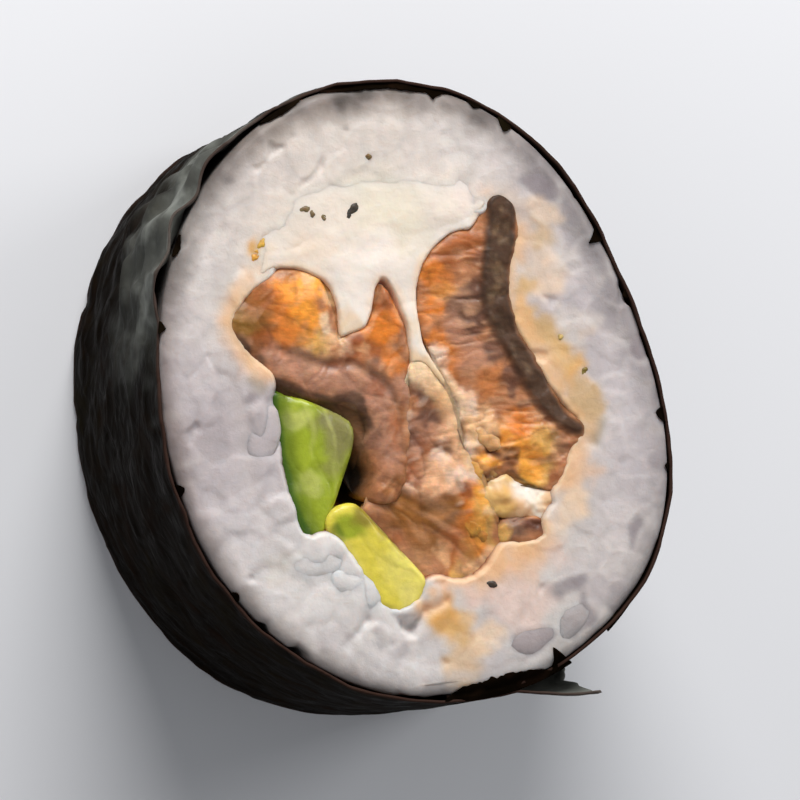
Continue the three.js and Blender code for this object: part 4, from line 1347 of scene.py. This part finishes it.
def makeNoriTabs(look):
    points, faces, start = [], [], 0
    for heading, width, reach, square in look["tabs"]:
        columns, rows = round(width / look["step"]) + 1, round((reach + look["overlap"]) / look["step"]) + 1
        v, u, index, quads = sheetGrid(np.linspace(0, 1, rows), np.linspace(-1, 1, columns))
        turn = heading + 0.5 * width * u / noriLook["meanRadius"]
        ragged = look["ragged"] * roughNoise(np.c_[20 * turn, 0 * turn + 3, 0 * turn], 0.7)
        inwards = reach * ((1 - square) * (1 - np.abs(u)) + square * (1 - np.abs(u) ** 4))
        inwards = np.maximum(inwards + ragged * min(1, reach) * (1 - np.abs(u)), 0.02)
        radius = rollRadius(turn) - look["rimGap"] + look["overlap"] - v * (inwards + look["overlap"])
        x, y, _ = rolled(radius, turn, 0).T
        rest = np.array([cutAt(*place, 1)[0] for place in zip(x, y)])
        level = np.maximum(rest, pieceHeight - noriLook["setback"] - 0.2) + look["lift"]
        level += look["crumple"] * (1 + roughNoise(np.c_[x, y, 0 * x + 5], 1.1)) * smoothStep(v, 0, 0.3)
        level = np.minimum(level, pieceHeight - 0.03)
        count = len(u)
        rim = start + np.r_[index[0], index[1:, -1], index[-1, -2::-1], index[-2:0:-1, 0]]
        faces += [*(start + quads[:, ::-1]).tolist(), *(start + quads + count).tolist()]
        faces += [(a + count, b + count, b, a) for a, b in zip(rim.tolist(), np.roll(rim, -1).tolist())]
        points += [np.c_[x, y, level], np.c_[x, y, level - look["thickness"]]]
        start += 2 * count
    tabs = newPiece("noriTabs", np.vstack(points), faces)
    shape = bmesh.new()
    shape.from_mesh(tabs.data)
    bmesh.ops.recalc_face_normals(shape, faces=shape.faces)
    shape.to_mesh(tabs.data)
    shape.free()
    return tabs


finished(makeNoriTabs(noriTabLook), noriFinish, "nori")


def looseBitsTree():  # lumpy bits, one at each point, turned and sized by the points' own attributes
    tree = bpy.data.node_groups.new("looseBits", "GeometryNodeTree")
    sockets = {}
    for label, kind in (
        ("Geometry", "Geometry"), ("Length", "Float"), ("Width", "Float"), ("Depth", "Float"),
        ("Lumps", "Float"), ("Lump Size", "Float"), ("Detail", "Int"), ("Seed", "Int"),
        ("Finish", "Material"),
    ):
        socket = tree.interface.new_socket(label, in_out="INPUT", socket_type="NodeSocket" + kind)
        sockets[label] = socket.identifier
    tree.interface.new_socket("Geometry", in_out="OUTPUT", socket_type="NodeSocketGeometry")

    def add(kind, output, inputs=None, **settings):
        return addNode(tree, kind, inputs, **settings).outputs[output]

    def attribute(name):
        named = addNode(tree, "GeometryNodeInputNamedAttribute", {"Name": name}, data_type="FLOAT_VECTOR")
        return next(s for s in named.outputs if s.enabled and s.name == "Attribute")

    given = addNode(tree, "NodeGroupInput").outputs
    ball = add("GeometryNodeMeshIcoSphere", "Mesh", {"Radius": 0.5, "Subdivisions": given["Detail"]})
    size = add(
        "ShaderNodeCombineXYZ", "Vector", {"X": given["Length"], "Y": given["Width"], "Z": given["Depth"]}
    )
    shaped = add("GeometryNodeTransform", "Geometry", {"Geometry": ball, "Scale": size})
    turned = add("FunctionNodeEulerToRotation", "Rotation", {"Euler": attribute("turn")})
    laid = add("GeometryNodeInstanceOnPoints", "Instances", {
        "Points": given["Geometry"], "Instance": shaped, "Rotation": turned, "Scale": attribute("size"),
    })
    joined = add("GeometryNodeRealizeInstances", "Geometry", {"Geometry": laid})
    pitch = add("ShaderNodeMath", "Value", {0: 1, 1: given["Lump Size"]}, operation="DIVIDE")
    position = add("GeometryNodeInputPosition", "Position")
    noise = add("ShaderNodeTexNoise", "Fac", {
        "W": given["Seed"], "Vector": position, "Scale": pitch,
    }, noise_dimensions="4D")
    swell = add("ShaderNodeMath", "Value", {0: noise, 1: 2, 2: -1}, operation="MULTIPLY_ADD")
    reach = add("ShaderNodeMath", "Value", {0: swell, 1: given["Lumps"]}, operation="MULTIPLY")
    normal = add("GeometryNodeInputNormal", "Normal")
    offset = add("ShaderNodeVectorMath", "Vector", {0: normal, "Scale": reach}, operation="SCALE")
    lumpy = add("GeometryNodeSetPosition", "Geometry", {"Geometry": joined, "Offset": offset})
    smooth = add("GeometryNodeSetShadeSmooth", "Geometry", {"Geometry": lumpy})
    painted = add("GeometryNodeSetMaterial", "Geometry", {"Geometry": smooth, "Material": given["Finish"]})
    addNode(tree, "NodeGroupOutput", {"Geometry": painted})
    return tree, sockets


bitsTree, bitsSockets = looseBitsTree()


def scattered(name, look, finish, slot, bits):  # a bit is where it lies, its turn, its size and its colour
    place, turn, size, colour = (np.array(column, float) for column in zip(*bits))
    host = newPiece(name + "Host", place, [], colour)
    addValues(host.data, "turn", turn, "FLOAT_VECTOR", "vector")
    addValues(host.data, "size", size, "FLOAT_VECTOR", "vector")
    modifier = host.modifiers.new("bits", "NODES")
    modifier.node_group = bitsTree
    for label in ("Length", "Width", "Depth", "Lumps", "Lump Size"):
        modifier[bitsSockets[label]] = look[label] * mm
    for label in ("Detail", "Seed"):
        modifier[bitsSockets[label]] = look[label]
    modifier[bitsSockets["Finish"]] = finish
    mesh = bpy.data.meshes.new_from_object(host.evaluated_get(bpy.context.evaluated_depsgraph_get()))
    mesh.name = name
    host.modifiers.remove(modifier)
    bpy.data.objects.remove(host)
    return finished(placed(name, mesh), finish, slot)


looseRiceLook = {
    "Length": 6.4, "Width": 3.5, "Depth": 1.5, "Lumps": 0.25, "Lump Size": 1.9, "Detail": 3, "Seed": 4,
    "proud": 0.13,
    "grains": [  # x, y, heading in degrees, size and how glassy
        (-10.9, -3.3, 80, 0.7, 0), (-7.4, -12.3, 10, 0.8, 0), (-4.2, -14.0, -25, 0.75, 0),
        (8.8, -17.2, 24, 0.8, 0.3), (11.4, -15.7, 48, 0.75, 0.2),
    ],
}


def makeLooseRice(look):  # whole grains that lie where the knife left them
    rng = np.random.default_rng(61)
    bits = []
    for x, y, heading, size, glassy in look["grains"]:
        half = 0.5 * size * look["Depth"]
        height, colour = cutAt(x, y, 1)
        z = min(height + look["proud"] - half, pieceHeight - half - look["Lumps"] - 0.02)
        turn = (rng.uniform(-0.1, 0.1), rng.uniform(-0.1, 0.1), math.radians(heading))
        colour = colour * rng.uniform(0.97, 1.06)
        colour += glassy * (linear(tones["riceClear"]) - colour)
        bits.append(((x, y, z), turn, (size, size, size), colour))
    return bits


scattered("looseRice", looseRiceLook, riceFinish, "rice", makeLooseRice(looseRiceLook))

fishFlakeLook = {
    "Length": 2.2, "Width": 1.2, "Depth": 0.6, "Lumps": 0.4, "Lump Size": 0.6, "Detail": 3, "Seed": 5,
    "sizes": (0.6, 1.1), "sunk": 0.22, "own": 0.25, "heading": -0.6,
    "spots": [  # x, y, how far they spread, how many, and their tones
        (5.4, -4.6, 1.4, 4, ("glazeBright", "honey", "rust")), (4.2, -9.4, 0.9, 3, ("glaze", "glazeDeep")),
    ],
}


def makeFishFlakes(look):  # they take on the colour of what they lie on, but for their own share
    rng = np.random.default_rng(62)
    bits = []
    for x0, y0, spread, count, choice in look["spots"]:
        around, reach = rng.uniform(0, fullTurn, count), spread * np.sqrt(rng.random(count))
        for x, y in zip(x0 + reach * np.cos(around), y0 + reach * np.sin(around)):
            size = rng.uniform(*look["sizes"])
            height, under = cutAt(x, y)
            highest = pieceHeight - size * (0.5 * look["Depth"] + look["Lumps"]) - 0.02
            turn = (*rng.uniform(-0.22, 0.22, 2), rng.normal(look["heading"], 0.4))
            colour = under + look["own"] * (linear(tones[rng.choice(choice)]) - under)
            z = min(height - look["sunk"] * size, highest)
            bits.append(((x, y, z), turn, (size * rng.uniform(0.8, 1.4), size, size), colour))
    return bits


scattered("fishFlakes", fishFlakeLook, eelFinish, "eel", makeFishFlakes(fishFlakeLook))

speckLook = {
    "Length": 1.0, "Width": 0.6, "Depth": 0.24, "Lumps": 0.2, "Lump Size": 0.4, "Detail": 3, "Seed": 7,
    "own": 0.96, "sunk": 0.06,
    "specks": [  # dark and orange flecks: x, y, heading in degrees, length and tone
        (-8.0, 12.4, 20, 0.85, "speckBrown"), (-7.5, 12.1, 80, 0.5, "speckBrown"),
        (-6.7, 11.9, -10, 0.45, "speckBrown"), (-4.6, 12.5, 50, 1.25, "speck"),
        (-4.9, 12.0, 40, 0.6, "speck"),
        (-3.5, 16.2, 0, 0.4, "speckBrown"), (5.3, -13.4, -20, 0.9, "speck"), (-11.1, 9.9, 75, 1.1, "amber"),
        (-11.5, 9.1, 60, 1.0, "glazeBright"), (12.0, 1.6, 30, 0.7, "olive"), (10.3, 3.9, 60, 0.5, "ochre"),
    ],
}


def makeSpecks(look):
    bits = []
    for x, y, heading, length, tone in look["specks"]:
        height, under = cutAt(x, y)
        colour = under + look["own"] * (linear(tones[tone]) - under)
        size = (length, 0.5 + 0.35 * length, 1)
        bits.append(((x, y, height - look["sunk"]), (0, 0, math.radians(heading)), size, colour))
    return bits


scattered("specks", speckLook, eelFinish, "eel", makeSpecks(speckLook))
